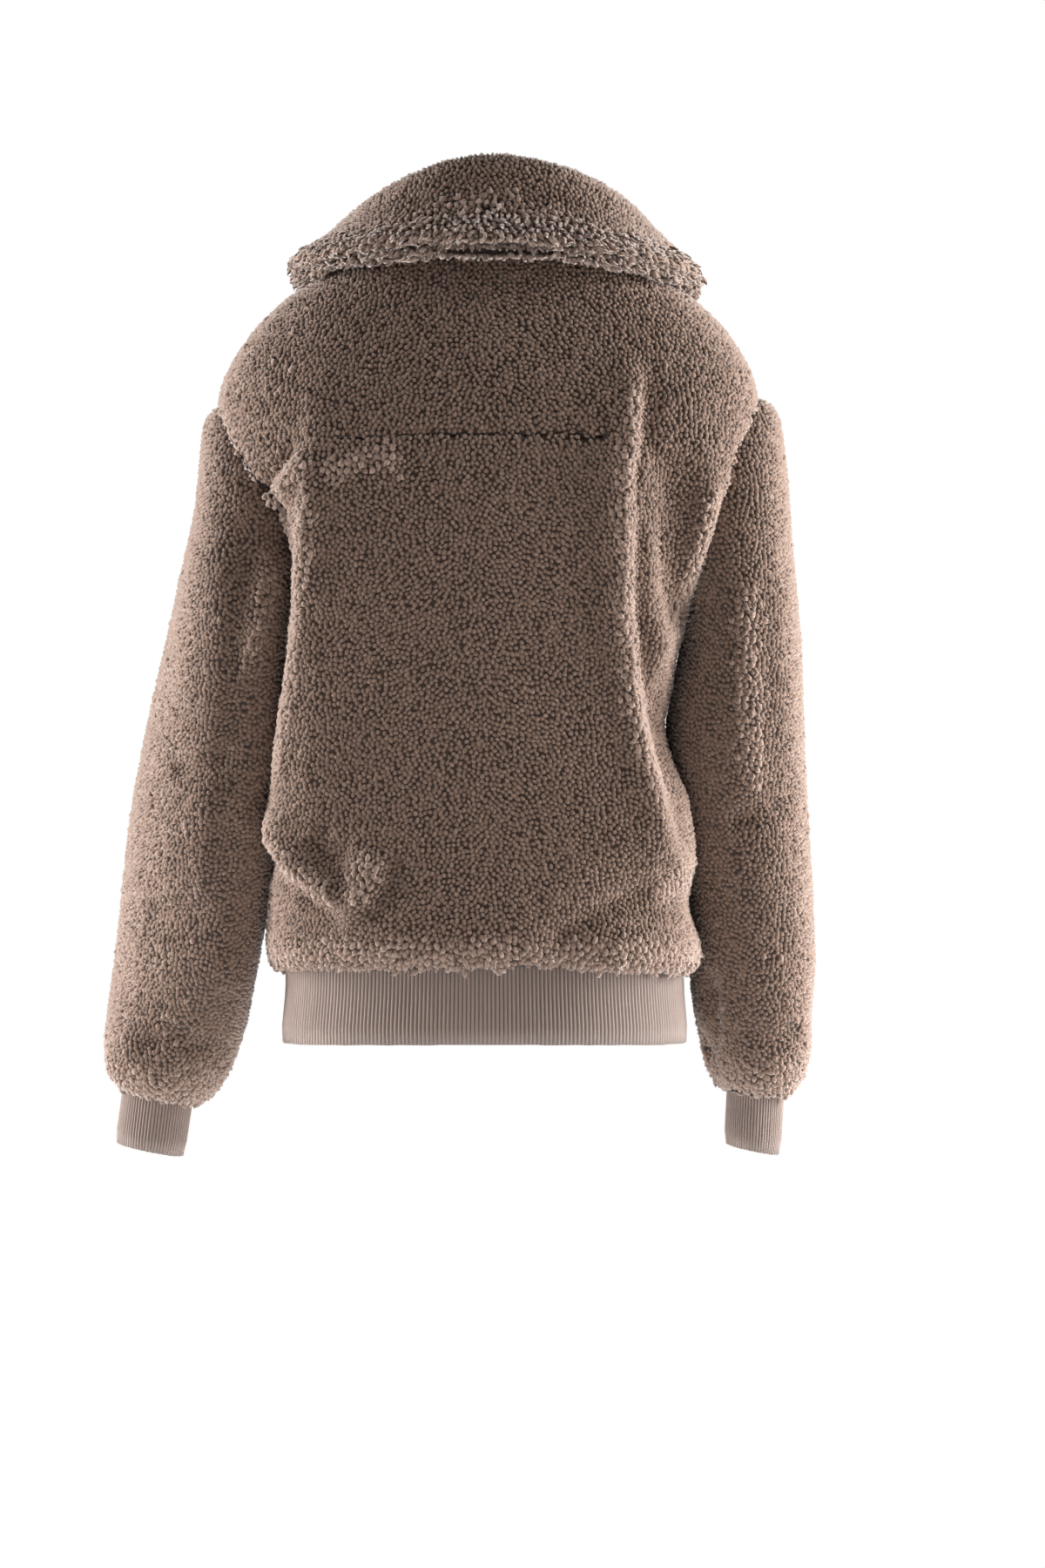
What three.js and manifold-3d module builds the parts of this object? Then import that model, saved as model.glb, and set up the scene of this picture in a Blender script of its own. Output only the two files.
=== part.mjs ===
// A teddy-fleece bomber jacket, hollow and hanging as it is worn.
//
// Millimetres, +Z up. The wearer faces -Y and +X is the wearer's left. The origin is the middle of the
// neck base, where the shoulders carry the jacket. Cloth is a wall of real thickness. Each cut piece is
// a closed solid of its own, a seam gap away from the pieces it is sewn to.

import * as THREE from 'three';
import { mergeVertices } from 'three/addons/utils/BufferGeometryUtils.js';
import Module from 'manifold-3d';

const wasm = await Module();
wasm.setup();

// ---- Driving dimensions ------------------------------------------------------------------------

const FLEECE = 8;            // backing and pile together
const RIB_KNIT = 2.6;        // hem band and cuffs
const RIB_RELIEF = 0.9;      // how far a rib stands up from the groove beside it
const SEAM_GAP = 0.3;
const SLEEVE_CLEARANCE = 2.6;  // between a hanging sleeve and the side it rests against
const ARMPIT = -322;         // the sleeves rest against the body below this height
const ARMHOLE_END = -342;    // lowest height at which a sleeve cuts into the body
const FACET = 0.1;           // small steps left by a cut are smoothed away up to this size

const HEM_RIBS = 280;
const CUFF_RIBS = 68;

// How finely the surfaces are divided.
const CORNER_CROWDING = 0.45;    // 0 spaces a ring's points evenly, more moves them to the corners
const PANEL_ROWS = 21;           // over the whole height of the body
const BACK_COLUMNS = 13;
const FRONT_COLUMNS = 6;
const BODY_CUTTER = { around: 48, up: 32 };
const SLEEVE_OUTSIDE = { around: 20, up: 18 };
const SLEEVE_INSIDE = { around: 14, up: 13 };
const COLLAR_GRID = { across: 23, up: 9 };

const ZIP = {
  halfGap: 6.5,      // from the centre line to a front's edge
  recess: 3.5,       // tape face below the fleece's outer face
  tape: 1.4,
  chainHalf: 3,      // half width of the closed teeth
  chainRelief: 1.3,
  bottom: -658,
  top: -66,
};

const SLIDER = {
  width: 10,
  height: 17,
  thickness: 3,
  cornerRadius: 2.5,
  below: 14,         // from the top of the zip
  post: 1.4,         // a bracket post is this wide
  postHeight: 4.4,   // and this long down the zip
  rooting: 0.4,      // how deep the posts go into the plate
  pinRadius: 1.2,
  pinOut: 6.7,       // the pull's hinge, out from the teeth
};

const PULL = {
  width: 8,
  length: 32,
  thickness: 2,
  neck: 5,           // width of its narrow end
  neckEnd: 0.35,     // where it starts to widen, as a part of its length
  bodyStart: 0.5,    // where it has its full width
  eye: 2.8,
  hole: 1.8,
};

const COLOURS = { fleece: 0x75614f, facing: 0x6e5b4c, rib: 0x8f7d70, tape: 0x6a584b, metal: 0x9a958c };

// ---- Tables of sections ------------------------------------------------------------------------

const table = (columns, rows) =>
  rows.map((row) => Object.fromEntries(columns.map((column, index) => [column, row[index]])));

// The body, ring by ring from the hem seam to the neck seam. left, right, back and front are reaches
// from the middle; sideZ, backZ and frontZ are the ring's heights there. A larger square gives a ring
// fuller corners.
const BODY = table(
  ['level', 'sideZ', 'left', 'right', 'backZ', 'back', 'frontZ', 'front', 'square'],
  [
    ['hem seam', -604, 172, 163, -598, 122, -604, 121, 2.4],
    ['hem roll', -600, 180, 170, -593, 130, -600, 128, 2.5],
    ['blouse', -586, 184, 173, -578, 135, -586, 133, 2.7],
    ['low hip', -553, 184, 162, -550, 132, -553, 132, 2.9],
    ['hip', -512, 178, 166, -512, 126, -512, 130, 3],
    ['low waist', -458, 175, 158, -458, 121, -458, 130, 3.1],
    ['waist', -404, 169, 138, -404, 119, -404, 131, 3.1],
    ['ribcage', -352, 163, 147, -352, 120, -352, 133, 3],
    ['underarm', -308, 160, 161, -308, 121, -308, 133, 3],
    ['chest', -265, 181, 182, -265, 121, -265, 130, 3],
    ['armhole', -220, 204, 200, -220, 119, -222, 124, 3],
    ['yoke seam', -177, 219, 214, -174, 115, -180, 115, 3],
    ['shoulder tip', -144, 225, 223, -128, 107, -144, 104, 2.9],
    ['shoulder end', -120, 221, 219, -92, 98, -118, 95, 2.7],
    ['outer shoulder', -92, 205, 205, -62, 90, -98, 88, 2.5],
    ['mid shoulder', -62, 182, 181, -38, 82, -82, 82, 2.4],
    ['inner shoulder', -34, 138, 138, -18, 74, -68, 77, 2.3],
    ['neck seam', -10, 90, 90, 2, 66, -56, 72, 2.2],
  ],
);
const HEM_SEAM = 0;
const YOKE_SEAM = BODY.findIndex((row) => row.level === 'yoke seam');
const NECK_SEAM = BODY.length - 1;

// Folds of the hanging cloth. Each is a soft ridge, or a trough where the height is negative, that runs
// from one point of the back or front to another. inner and outer are its widths towards the middle of
// the jacket and away from it.
const FOLDS = table(
  ['name', 'side', 'fromX', 'fromZ', 'toX', 'toZ', 'height', 'inner', 'outer'],
  [
    ['left back ridge', 1, 152, -190, 160, -330, 11, 26, 13],
    ['left back ridge, low', 1, 162, -350, 176, -500, 9, 30, 16],
    ['left armhole hollow', 1, 176, -222, 172, -292, -13, 13, 16],
    ['right back ridge', 1, -120, -185, -128, -335, 11, 30, 14],
    ['right back ridge, low', 1, -132, -350, -158, -490, 8, 30, 22],
    ['right armhole hollow', 1, -146, -200, -146, -300, -12, 13, 18],
    ['right armhole ridge', 1, -186, -190, -160, -290, 6, 14, 14],
    ['left blouse fold', 1, 150, -532, 104, -545, 11, 17, 17],
    ['left blouse hollow', 1, 136, -503, 108, -515, -7, 17, 15],
    ['left blouse tuck', 1, 168, -556, 120, -572, -5, 14, 14],
    ['right blouse crease', 1, -118, -540, -44, -582, -5, 16, 16],
    ['right hem swell', 1, -150, -585, -110, -588, 5, 20, 20],
    ['left front ridge', -1, 132, -210, 150, -400, 8, 24, 16],
    ['right front ridge', -1, -130, -215, -126, -390, 8, 26, 16],
    ['left front blouse', -1, 140, -530, 70, -566, 7, 18, 18],
    ['right front blouse', -1, -134, -540, -60, -560, 6, 18, 18],
  ],
);

// The sleeves, from the head down. inner, outer: reach from the middle of the jacket; depth: half the
// sleeve's front-to-back size, about middleY; tilt: rise towards the outer side, per millimetre.
const SLEEVE_COLUMNS = ['level', 'z', 'inner', 'outer', 'depth', 'middleY', 'tilt'];
const LEFT_SLEEVE = table(SLEEVE_COLUMNS, [
  ['cap', -138, 211, 227, 9, 0, 0],
  ['cap edge', -144, 191, 233, 28, 0, 0],
  ['head', -160, 171, 237, 47, 0, 0],
  ['armhole', -190, 155, 240, 65, -1, 0],
  ['low armhole', -230, 147, 244, 74, -3, 0],
  ['upper arm', -270, 148, 250, 78, -4, 0],
  ['underarm', -310, 158, 261, 79, -5, 0],
  ['biceps', -352, 163, 274, 78, -9, 0],
  ['above elbow', -404, 165, 287, 77, -14, 0.03],
  ['elbow', -458, 168, 299, 75, -19, 0.06],
  ['forearm', -512, 176, 307, 72, -25, 0.1],
  ['low forearm', -565, 187, 313, 69, -31, 0.13],
  ['wrist', -615, 197, 319, 67, -36, 0.16],
  ['blouse', -662, 211, 325, 62, -42, 0.2],
  ['roll', -697, 228, 324, 53, -46, 0.22],
  ['cuff seam', -713, 245, 312, 38, -47, 0.22],
]);
const RIGHT_SLEEVE = table(SLEEVE_COLUMNS, [
  ['cap', -131, 210, 226, 9, 0, 0],
  ['cap edge', -137, 192, 234, 28, 0, 0],
  ['head', -154, 171, 240, 47, 0, 0],
  ['armhole', -190, 154, 245, 64, -1, 0],
  ['low armhole', -230, 148, 248, 73, -3, 0],
  ['upper arm', -270, 150, 251, 76, -4, 0],
  ['underarm', -310, 160, 255, 77, -5, 0],
  ['biceps', -352, 155, 258, 76, -9, 0],
  ['above elbow', -404, 143, 260, 75, -14, 0],
  ['elbow', -458, 147, 263, 73, -19, -0.02],
  ['forearm', -512, 158, 267, 70, -25, -0.04],
  ['low forearm', -565, 164, 270, 67, -31, -0.06],
  ['wrist', -615, 166, 272, 64, -36, -0.08],
  ['blouse', -662, 173, 270, 58, -42, -0.1],
  ['roll', -694, 181, 262, 50, -46, -0.12],
  ['cuff seam', -710, 193, 250, 38, -47, -0.12],
]);
const SLEEVE_SQUARE = 2.3;

// Folds round a sleeve: angle is measured from the back towards the outer side, in degrees.
const SLEEVE_FOLD_COLUMNS = ['name', 'fromAngle', 'fromZ', 'toAngle', 'toZ', 'height', 'width'];
const LEFT_SLEEVE_FOLDS = table(SLEEVE_FOLD_COLUMNS, [
  ['elbow fold', -50, -420, 40, -445, -4, 18],
  ['inner elbow fold', -150, -430, -60, -470, -5, 16],
  ['wrist slouch', -40, -640, 60, -628, -4, 14],
  ['front elbow fold', 120, -440, 200, -455, -5, 18],
]);
const RIGHT_SLEEVE_FOLDS = table(SLEEVE_FOLD_COLUMNS, [
  ['long crease', -52, -600, -40, -690, -5, 13],
  ['elbow fold', -40, -470, 50, -452, -4, 18],
  ['front elbow fold', 130, -438, 210, -462, -5, 18],
  ['wrist slouch', 60, -635, 150, -650, -4, 14],
]);

const HEM_BAND = table(
  ['level', 'sideZ', 'left', 'right', 'backZ', 'back', 'frontZ', 'front', 'square'],
  [
    ['top', -592, 169, 160, -586, 116, -592, 115, 2.4],
    ['seam', -606, 170, 161, -600, 117, -606, 116, 2.4],
    ['middle', -634, 167.5, 158.5, -629, 115, -634, 114, 2.4],
    ['edge', -662, 173, 163.5, -657, 119, -662, 118, 2.4],
  ],
);

// The cuffs: middle of the top and bottom rings as reach from the middle of the jacket, half sizes
// across and front to back, and the rise of a ring towards the outer side per millimetre.
const [LEFT_CUFF, RIGHT_CUFF] = table(
  ['topX', 'bottomX', 'topY', 'bottomY', 'topZ', 'bottomZ', 'across', 'depth', 'tilt'],
  [
    [278, 287, -47, -50, -697, -757, 29.5, 27, 0.21],
    [223, 220, -47, -51, -695, -757, 24, 30, -0.2],
  ],
);
const CUFF_SPACE = { slack: 0.45, length: 1.2 };  // what a sleeve leaves free round its cuff

// The collar, at angles round the neck from the centre back, positive on the wearer's left. heading:
// the way the fall spreads; lean and rise: from the neck seam to the top of the roll; reach and drop:
// from the neck seam to the outer edge; flare: slope of the edge below level.
const COLLAR = table(
  ['place', 'angle', 'heading', 'lean', 'rise', 'reach', 'drop', 'flare'],
  [
    ['right front end', -174, -150, 8, 12, 64, 64, 50],
    ['right front corner', -135, -124, 12, 24, 82, 46, 44],
    ['right shoulder', -90, -86, 14, 34, 80, 24, 36],
    ['right back corner', -45, -40, 10, 47, 62, 23, 27],
    ['centre back', 0, 0, 9, 52, 46, 23, 22],
    ['left back corner', 45, 40, 8, 41, 57, 19, 26],
    ['left shoulder', 90, 86, 11, 24, 70, 15, 34],
    ['left front corner', 135, 124, 11, 19, 76, 42, 44],
    ['left front end', 174, 150, 8, 12, 64, 64, 50],
  ],
);
const COLLAR_ROLL = 20;         // how far the stand and the fall lean into the roll at the top
const COLLAR_LANDING = 26;      // length of the flare at the outer edge
const COLLAR_STAND = 0.36;      // the stand's share of the collar, from the neck seam to the edge
const COLLAR_EDGE = 12.5;       // thickness of each layer at the outer edge, where the pile opens out
const COLLAR_THICKENING = { from: 0.72, to: 0.92 };
const COLLAR_ROUNDING = { in: 3, out: 1 };  // the outer edge's corners

// ---- Interpolation ------------------------------------------------------------------------------

const { lerp, clamp, degToRad, radToDeg, euclideanModulo } = THREE.MathUtils;

// Value of a column at a place in a key column, by a cubic that never overshoots its rows.
function at(rows, key, column, place) {
  const direction = Math.sign(rows[rows.length - 1][key] - rows[0][key]);
  let low = 0;
  while (low < rows.length - 2 && direction * (place - rows[low + 1][key]) > 0) low += 1;
  return hermite(rows, low, (index) => rows[index][key], column, place);
}

// The same, at a fractional row number.
function atRow(rows, column, place) {
  const low = clamp(Math.floor(place), 0, rows.length - 2);
  return hermite(rows, low, (index) => index, column, place);
}

function hermite(rows, low, keyOf, column, place) {
  const secant = (index) => {
    const run = keyOf(index + 1) - keyOf(index);
    return (rows[index + 1][column] - rows[index][column]) / run;
  };
  const slope = (index) => {
    if (index === 0) return secant(0);
    if (index === rows.length - 1) return secant(index - 1);
    const before = secant(index - 1);
    const after = secant(index);
    return before * after > 0 ? (2 * before * after) / (before + after) : 0;
  };
  const start = keyOf(low);
  const run = keyOf(low + 1) - start;
  const f = clamp((place - start) / run, 0, 1);
  const rise = rows[low + 1][column] - rows[low][column];
  const bend = f * (1 - f) * ((1 - f) * slope(low) * run - f * slope(low + 1) * run + (2 * f - 1) * rise);
  return rows[low][column] + f * rise + bend;
}

// How strongly a fold acts at a distance from its line, and past its ends.
const bell = (distance, width) => Math.exp(-((distance / width) ** 2));

// ---- Surfaces -----------------------------------------------------------------------------------

// A point of a ring. angle runs from the centre back over the wearer's left; the rounded rectangle's
// corners fill out as square grows.
function ringPoint(section, angle) {
  const size = (Math.abs(Math.sin(angle)) ** section.square + Math.abs(Math.cos(angle)) ** section.square)
    ** (1 / section.square);
  const across = Math.sin(angle) / size;
  const along = Math.cos(angle) / size;
  const isBack = along > 0;
  const endZ = isBack ? section.backZ : section.frontZ;
  return new THREE.Vector3(
    across * (across > 0 ? section.left : section.right),
    along * (isBack ? section.back : section.front),
    lerp(section.sideZ, endZ, along * along),
  );
}

const RING_COLUMNS = ['sideZ', 'left', 'right', 'backZ', 'back', 'frontZ', 'front', 'square'];

function sectionAt(rows, place) {
  return Object.fromEntries(RING_COLUMNS.map((column) => [column, atRow(rows, column, place)]));
}

// The unit normal of a surface given by point(angle, place), facing out.
function outwardNormal(point, angle, place, lastPlace) {
  const step = 0.01;
  const low = Math.max(place - step, 0);
  const high = Math.min(place + step, lastPlace);
  const around = point(angle + step, place).sub(point(angle - step, place));
  const up = point(angle, high).sub(point(angle, low));
  return up.cross(around).normalize();
}

const bodyRing = (angle, place) => ringPoint(sectionAt(BODY, place), angle);

function foldHeight(point) {
  let total = 0;
  for (const fold of FOLDS) {
    if (Math.sign(point.y) !== fold.side) continue;
    const from = new THREE.Vector2(fold.fromX, fold.fromZ);
    const line = new THREE.Vector2(fold.toX, fold.toZ).sub(from);
    const offset = new THREE.Vector2(point.x, point.z).sub(from);
    const along = clamp(offset.dot(line) / line.lengthSq(), 0, 1);
    const nearest = from.addScaledVector(line, along);
    const isOuter = Math.abs(point.x) > Math.abs(nearest.x);
    const distance = nearest.distanceTo(new THREE.Vector2(point.x, point.z));
    total += fold.height * bell(distance, isOuter ? fold.outer : fold.inner);
  }
  return total;
}

// The side of the body gives way where a hanging sleeve rests against it.
function pressedIn(point, clearance) {
  if (point.z > ARMPIT) return point;
  const sleeve = point.x > 0 ? LEFT_SLEEVE : RIGHT_SLEEVE;
  const read = (column) => at(sleeve, 'z', column, point.z);
  const spread = Math.abs(point.y - read('middleY')) / read('depth');
  if (spread >= 1) return point;
  const half = (read('outer') - read('inner')) / 2;
  const bulge = half * (1 - spread ** SLEEVE_SQUARE) ** (1 / SLEEVE_SQUARE);
  const limit = read('inner') + half - bulge - clearance;
  point.x = Math.sign(point.x) * Math.min(Math.abs(point.x), limit);
  return point;
}

// A point of the body's cloth: depth 0 is its outer face, FLEECE its inner face.
function bodyPoint(angle, place, depth = 0) {
  const point = bodyRing(angle, place);
  const normal = outwardNormal(bodyRing, angle, place, NECK_SEAM);
  point.addScaledVector(normal, foldHeight(point) - depth);
  return pressedIn(point, SLEEVE_CLEARANCE + depth);
}

// Moves a ring's even steps towards its corners, where the cloth bends most.
const towardsCorners = (angle) => angle + (CORNER_CROWDING * Math.sin(4 * angle)) / 4;

const lastIndex = (rows) => rows.length - 1;

// A point of a sleeve's ring. angle runs from the back over the outer side.
function sleeveRing({ side, rows }, angle, place) {
  const read = (column) => atRow(rows, column, place);
  const size = (Math.abs(Math.sin(angle)) ** SLEEVE_SQUARE + Math.abs(Math.cos(angle)) ** SLEEVE_SQUARE)
    ** (1 / SLEEVE_SQUARE);
  const half = (read('outer') - read('inner')) / 2;
  const across = (half * Math.sin(angle)) / size;
  return new THREE.Vector3(
    side * (read('inner') + half + across),
    read('middleY') + (read('depth') * Math.cos(angle)) / size,
    read('z') + across * read('tilt'),
  );
}

const aroundHalfTurn = (degrees) => euclideanModulo(degrees + 180, 360) - 180;

function sleeveFoldHeight(folds, degrees, z) {
  let total = 0;
  for (const fold of folds) {
    const turn = fold.toAngle - fold.fromAngle;
    const fall = fold.toZ - fold.fromZ;
    const isLengthwise = Math.abs(fall) > Math.abs(turn);
    const down = (z - fold.fromZ) / fall;
    const round = euclideanModulo(degrees - fold.fromAngle, 360) / turn;
    const along = clamp(isLengthwise ? down : round, 0, 1);
    const apart = aroundHalfTurn(degrees - lerp(fold.fromAngle, fold.toAngle, along));
    const above = z - lerp(fold.fromZ, fold.toZ, along);
    total += fold.height * bell(Math.hypot(apart, above), fold.width);
  }
  return total;
}

// A point of a sleeve's cloth, at a depth below its outer face.
function sleevePoint(sleeve, angle, place, depth = 0) {
  const ring = (turn, level) => sleeveRing(sleeve, turn, level);
  const point = ring(angle, place);
  const normal = outwardNormal(ring, angle, place, lastIndex(sleeve.rows)).multiplyScalar(-sleeve.side);
  const swell = sleeveFoldHeight(sleeve.folds, aroundHalfTurn(radToDeg(angle)), point.z);
  return point.addScaledVector(normal, swell - depth);
}

// ---- Solids ---------------------------------------------------------------------------------------

function toManifold(positions, triangles) {
  const raw = new THREE.BufferGeometry();
  raw.setAttribute('position', new THREE.Float32BufferAttribute(positions, 3));
  raw.setIndex(triangles);
  const merged = mergeVertices(raw, 1e-4);
  const vertProperties = merged.attributes.position.array;
  const triVerts = Uint32Array.from(merged.index.array);
  let volume = 0;
  const corner = (index) => new THREE.Vector3().fromArray(vertProperties, 3 * triVerts[index]);
  for (let index = 0; index < triVerts.length; index += 3) {
    volume += corner(index).dot(corner(index + 1).cross(corner(index + 2)));
  }
  if (volume < 0) triVerts.reverse();
  return new wasm.Manifold(new wasm.Mesh({ numProp: 3, vertProperties, triVerts }));
}

function toMesh(manifold, name, colour, roughness = 1, metalness = 0) {
  const { vertProperties, triVerts } = manifold.getMesh();
  const geometry = new THREE.BufferGeometry();
  geometry.setAttribute('position', new THREE.BufferAttribute(vertProperties, 3));
  geometry.setIndex(new THREE.BufferAttribute(triVerts, 1));
  const material = new THREE.MeshStandardMaterial({ color: colour, roughness, metalness });
  const mesh = new THREE.Mesh(geometry, material);
  mesh.name = name;
  return mesh;
}

const largest = (manifold) =>
  manifold.decompose().sort((a, b) => b.volume() - a.volume())[0].simplify(FACET);

// A wall of cloth. surface(a, b, depth) gives a point for a across and b up, both 0 to 1, at a depth
// below the outer face. The outer face has split columns for each column of the inner one. A closed
// wall meets itself round a tube.
function wall(surface, { across, up, thickness, split = 1, closed = false }) {
  const positions = [];
  const triangles = [];
  const face = (columns, depth) => {
    const start = positions.length / 3;
    const count = closed ? columns : columns + 1;
    for (let row = 0; row <= up; row += 1) {
      for (let column = 0; column < count; column += 1) {
        surface(column / columns, row / up, depth).toArray(positions, positions.length);
      }
    }
    return (column, row) => start + row * count + (closed ? column % columns : column);
  };
  const quad = (a, b, c, d) => triangles.push(a, b, c, a, c, d);
  const outer = face(across * split, 0);
  const inner = face(across, thickness);
  for (let row = 0; row < up; row += 1) {
    for (let column = 0; column < across * split; column += 1) {
      quad(outer(column, row), outer(column + 1, row), outer(column + 1, row + 1), outer(column, row + 1));
    }
    for (let column = 0; column < across; column += 1) {
      quad(inner(column, row), inner(column, row + 1), inner(column + 1, row + 1), inner(column + 1, row));
    }
  }
  const rim = (row, isTop) => {
    const push = (a, b, c) => (isTop ? triangles.push(a, b, c) : triangles.push(a, c, b));
    for (let column = 0; column < across; column += 1) {
      for (let part = 0; part < split; part += 1) {
        const first = column * split + part;
        push(inner(column, row), outer(first, row), outer(first + 1, row));
      }
      push(inner(column, row), outer((column + 1) * split, row), inner(column + 1, row));
    }
  };
  rim(0, false);
  rim(up, true);
  const last = across * split;
  for (let row = 0; row < up && !closed; row += 1) {
    quad(inner(0, row), outer(0, row), outer(0, row + 1), inner(0, row + 1));
    quad(outer(last, row), inner(across, row), inner(across, row + 1), outer(last, row + 1));
  }
  return toManifold(positions, triangles);
}

// A filled tube through rings, closed by a fan at each end.
function filled(ring, { around, up }) {
  const positions = [];
  const triangles = [];
  const middles = [new THREE.Vector3(), new THREE.Vector3()];
  for (let row = 0; row <= up; row += 1) {
    for (let column = 0; column < around; column += 1) {
      const point = ring((2 * Math.PI * column) / around, row / up);
      point.toArray(positions, positions.length);
      if (row === 0) middles[0].addScaledVector(point, 1 / around);
      if (row === up) middles[1].addScaledVector(point, 1 / around);
    }
  }
  middles.forEach((middle) => middle.toArray(positions, positions.length));
  const vertex = (column, row) => row * around + (column % around);
  const bottom = (up + 1) * around;
  for (let column = 0; column < around; column += 1) {
    triangles.push(bottom, vertex(column + 1, 0), vertex(column, 0));
    triangles.push(bottom + 1, vertex(column, up), vertex(column + 1, up));
    for (let row = 0; row < up; row += 1) {
      triangles.push(vertex(column, row), vertex(column + 1, row), vertex(column + 1, row + 1));
      triangles.push(vertex(column, row), vertex(column + 1, row + 1), vertex(column, row + 1));
    }
  }
  return toManifold(positions, triangles);
}

// ---- Cutting bodies: the spaces that neighbours need --------------------------------------------

const bodyInside = filled(
  (angle, b) => bodyPoint(towardsCorners(angle), b * NECK_SEAM, FLEECE),
  BODY_CUTTER,
);

// A point of the hem band's outer face, moved out by a distance. Its rows run down, so the normal of
// its rings points in.
function hemPoint(angle, place, out = 0) {
  const ring = (turn, level) => ringPoint(sectionAt(HEM_BAND, level), turn);
  return ring(angle, place).addScaledVector(outwardNormal(ring, angle, place, lastIndex(HEM_BAND)), -out);
}

const hemBandSpace = filled((angle, b) => {
  const point = hemPoint(angle, b * lastIndex(HEM_BAND), SEAM_GAP);
  if (b === 0) point.z += SEAM_GAP;
  return point;
}, { around: BODY_CUTTER.around, up: lastIndex(HEM_BAND) });

// ---- Body panels ----------------------------------------------------------------------------------

function bodyPanel({ fromAngle, toAngle, fromPlace, toPlace, across, up, cutters }) {
  const surface = (a, b, depth) => {
    const place = lerp(fromPlace, toPlace, b);
    const even = lerp(fromAngle(place), toAngle(place), a);
    const isEdge = a === 0 || a === 1;
    return bodyPoint(isEdge ? even : towardsCorners(even), place, depth);
  };
  let panel = wall(surface, { across, up, thickness: FLEECE, split: 2 });
  for (const cutter of cutters) panel = panel.subtract(cutter);
  return largest(panel);
}

// Angles of the side and shoulder seams, and of the front edges beside the zip.
const seamOffset = (place, column) => SEAM_GAP / 2 / atRow(BODY, column, place);
const backEdge = (side) => (place) => side * (Math.PI / 2 - seamOffset(place, 'back'));
const frontSeam = (side) => (place) => side * (Math.PI / 2 + seamOffset(place, 'front'));
const zipEdge = (side) => (place) =>
  side * (Math.PI - ZIP.halfGap / atRow(BODY, side > 0 ? 'left' : 'right', place));

// ---- Sleeves and cuffs ----------------------------------------------------------------------------

function sleeveVolume(sleeve, grid, depth) {
  return filled((angle, b) => sleevePoint(sleeve, angle, b * lastIndex(sleeve.rows), depth), grid);
}

// A point of a cuff, b running from its lower edge to its top.
function cuffPoint({ cuff, side }, angle, b, depth) {
  const across = (cuff.across - depth) * Math.sin(angle);
  return new THREE.Vector3(
    side * (lerp(cuff.bottomX, cuff.topX, b) + across),
    lerp(cuff.bottomY, cuff.topY, b) + (cuff.depth - depth) * Math.cos(angle),
    lerp(cuff.bottomZ, cuff.topZ, b) + across * cuff.tilt,
  );
}

// Depth of the groove between ribs, for a share of the way along a row of ribs.
const ribGroove = (a, ribs) => (RIB_RELIEF * (1 - Math.cos(2 * Math.PI * a * ribs))) / 2;

// Columns inside a ribbed wall whose outer face has two points a rib.
const ribColumns = (ribs, split) => Math.round((2 * ribs) / split);

const CUFF_SPLIT = 6;

function cuffWall(sleeve) {
  const surface = (a, b, depth) => {
    const groove = depth === 0 ? ribGroove(a, CUFF_RIBS) : 0;
    return cuffPoint(sleeve, 2 * Math.PI * a, b, depth + groove);
  };
  const across = ribColumns(CUFF_RIBS, CUFF_SPLIT);
  return wall(surface, { across, up: 1, thickness: RIB_KNIT, split: CUFF_SPLIT, closed: true });
}

function cuffSpace(sleeve) {
  const ring = (angle, b) => cuffPoint(sleeve, angle, CUFF_SPACE.length * b, -CUFF_SPACE.slack);
  return filled(ring, { around: CUFF_RIBS, up: 1 });
}

// ---- Hem band ---------------------------------------------------------------------------------------

const HEM_SPLIT = 8;
const HEM_SEAM_LEVEL = 1;

// A function from a share of the hem's length to its angle, so that ribs are evenly spaced.
function hemAngles(fromAngle, toAngle) {
  const steps = 720;
  const angle = (step) => lerp(fromAngle, toAngle, step / steps);
  const lengths = [0];
  for (let step = 1; step <= steps; step += 1) {
    const before = hemPoint(angle(step - 1), HEM_SEAM_LEVEL);
    lengths.push(lengths[step - 1] + hemPoint(angle(step), HEM_SEAM_LEVEL).distanceTo(before));
  }
  return (share) => {
    const wanted = share * lengths[steps];
    let low = 0;
    while (low < steps - 1 && lengths[low + 1] < wanted) low += 1;
    return angle(low + (wanted - lengths[low]) / (lengths[low + 1] - lengths[low]));
  };
}

function hemBandWall() {
  const { left, right } = HEM_BAND[HEM_SEAM_LEVEL];
  const angleAt = hemAngles(ZIP.halfGap / right - Math.PI, Math.PI - ZIP.halfGap / left);
  const surface = (a, b, depth) => {
    const groove = depth === 0 ? ribGroove(a, HEM_RIBS) : 0;
    return hemPoint(angleAt(a), b * lastIndex(HEM_BAND), -depth - groove);
  };
  return wall(surface, {
    across: ribColumns(HEM_RIBS, HEM_SPLIT),
    up: 2,
    thickness: RIB_KNIT,
    split: HEM_SPLIT,
  });
}

// ---- Collar -----------------------------------------------------------------------------------------

// Four-point curve in the collar's own plane, x outwards and y up.
function bezier(a, b, c, d, t) {
  const curve = new THREE.CubicBezierCurve(a, b, c, d);
  return { point: curve.getPoint(t), tangent: curve.getTangent(t) };
}

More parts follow.
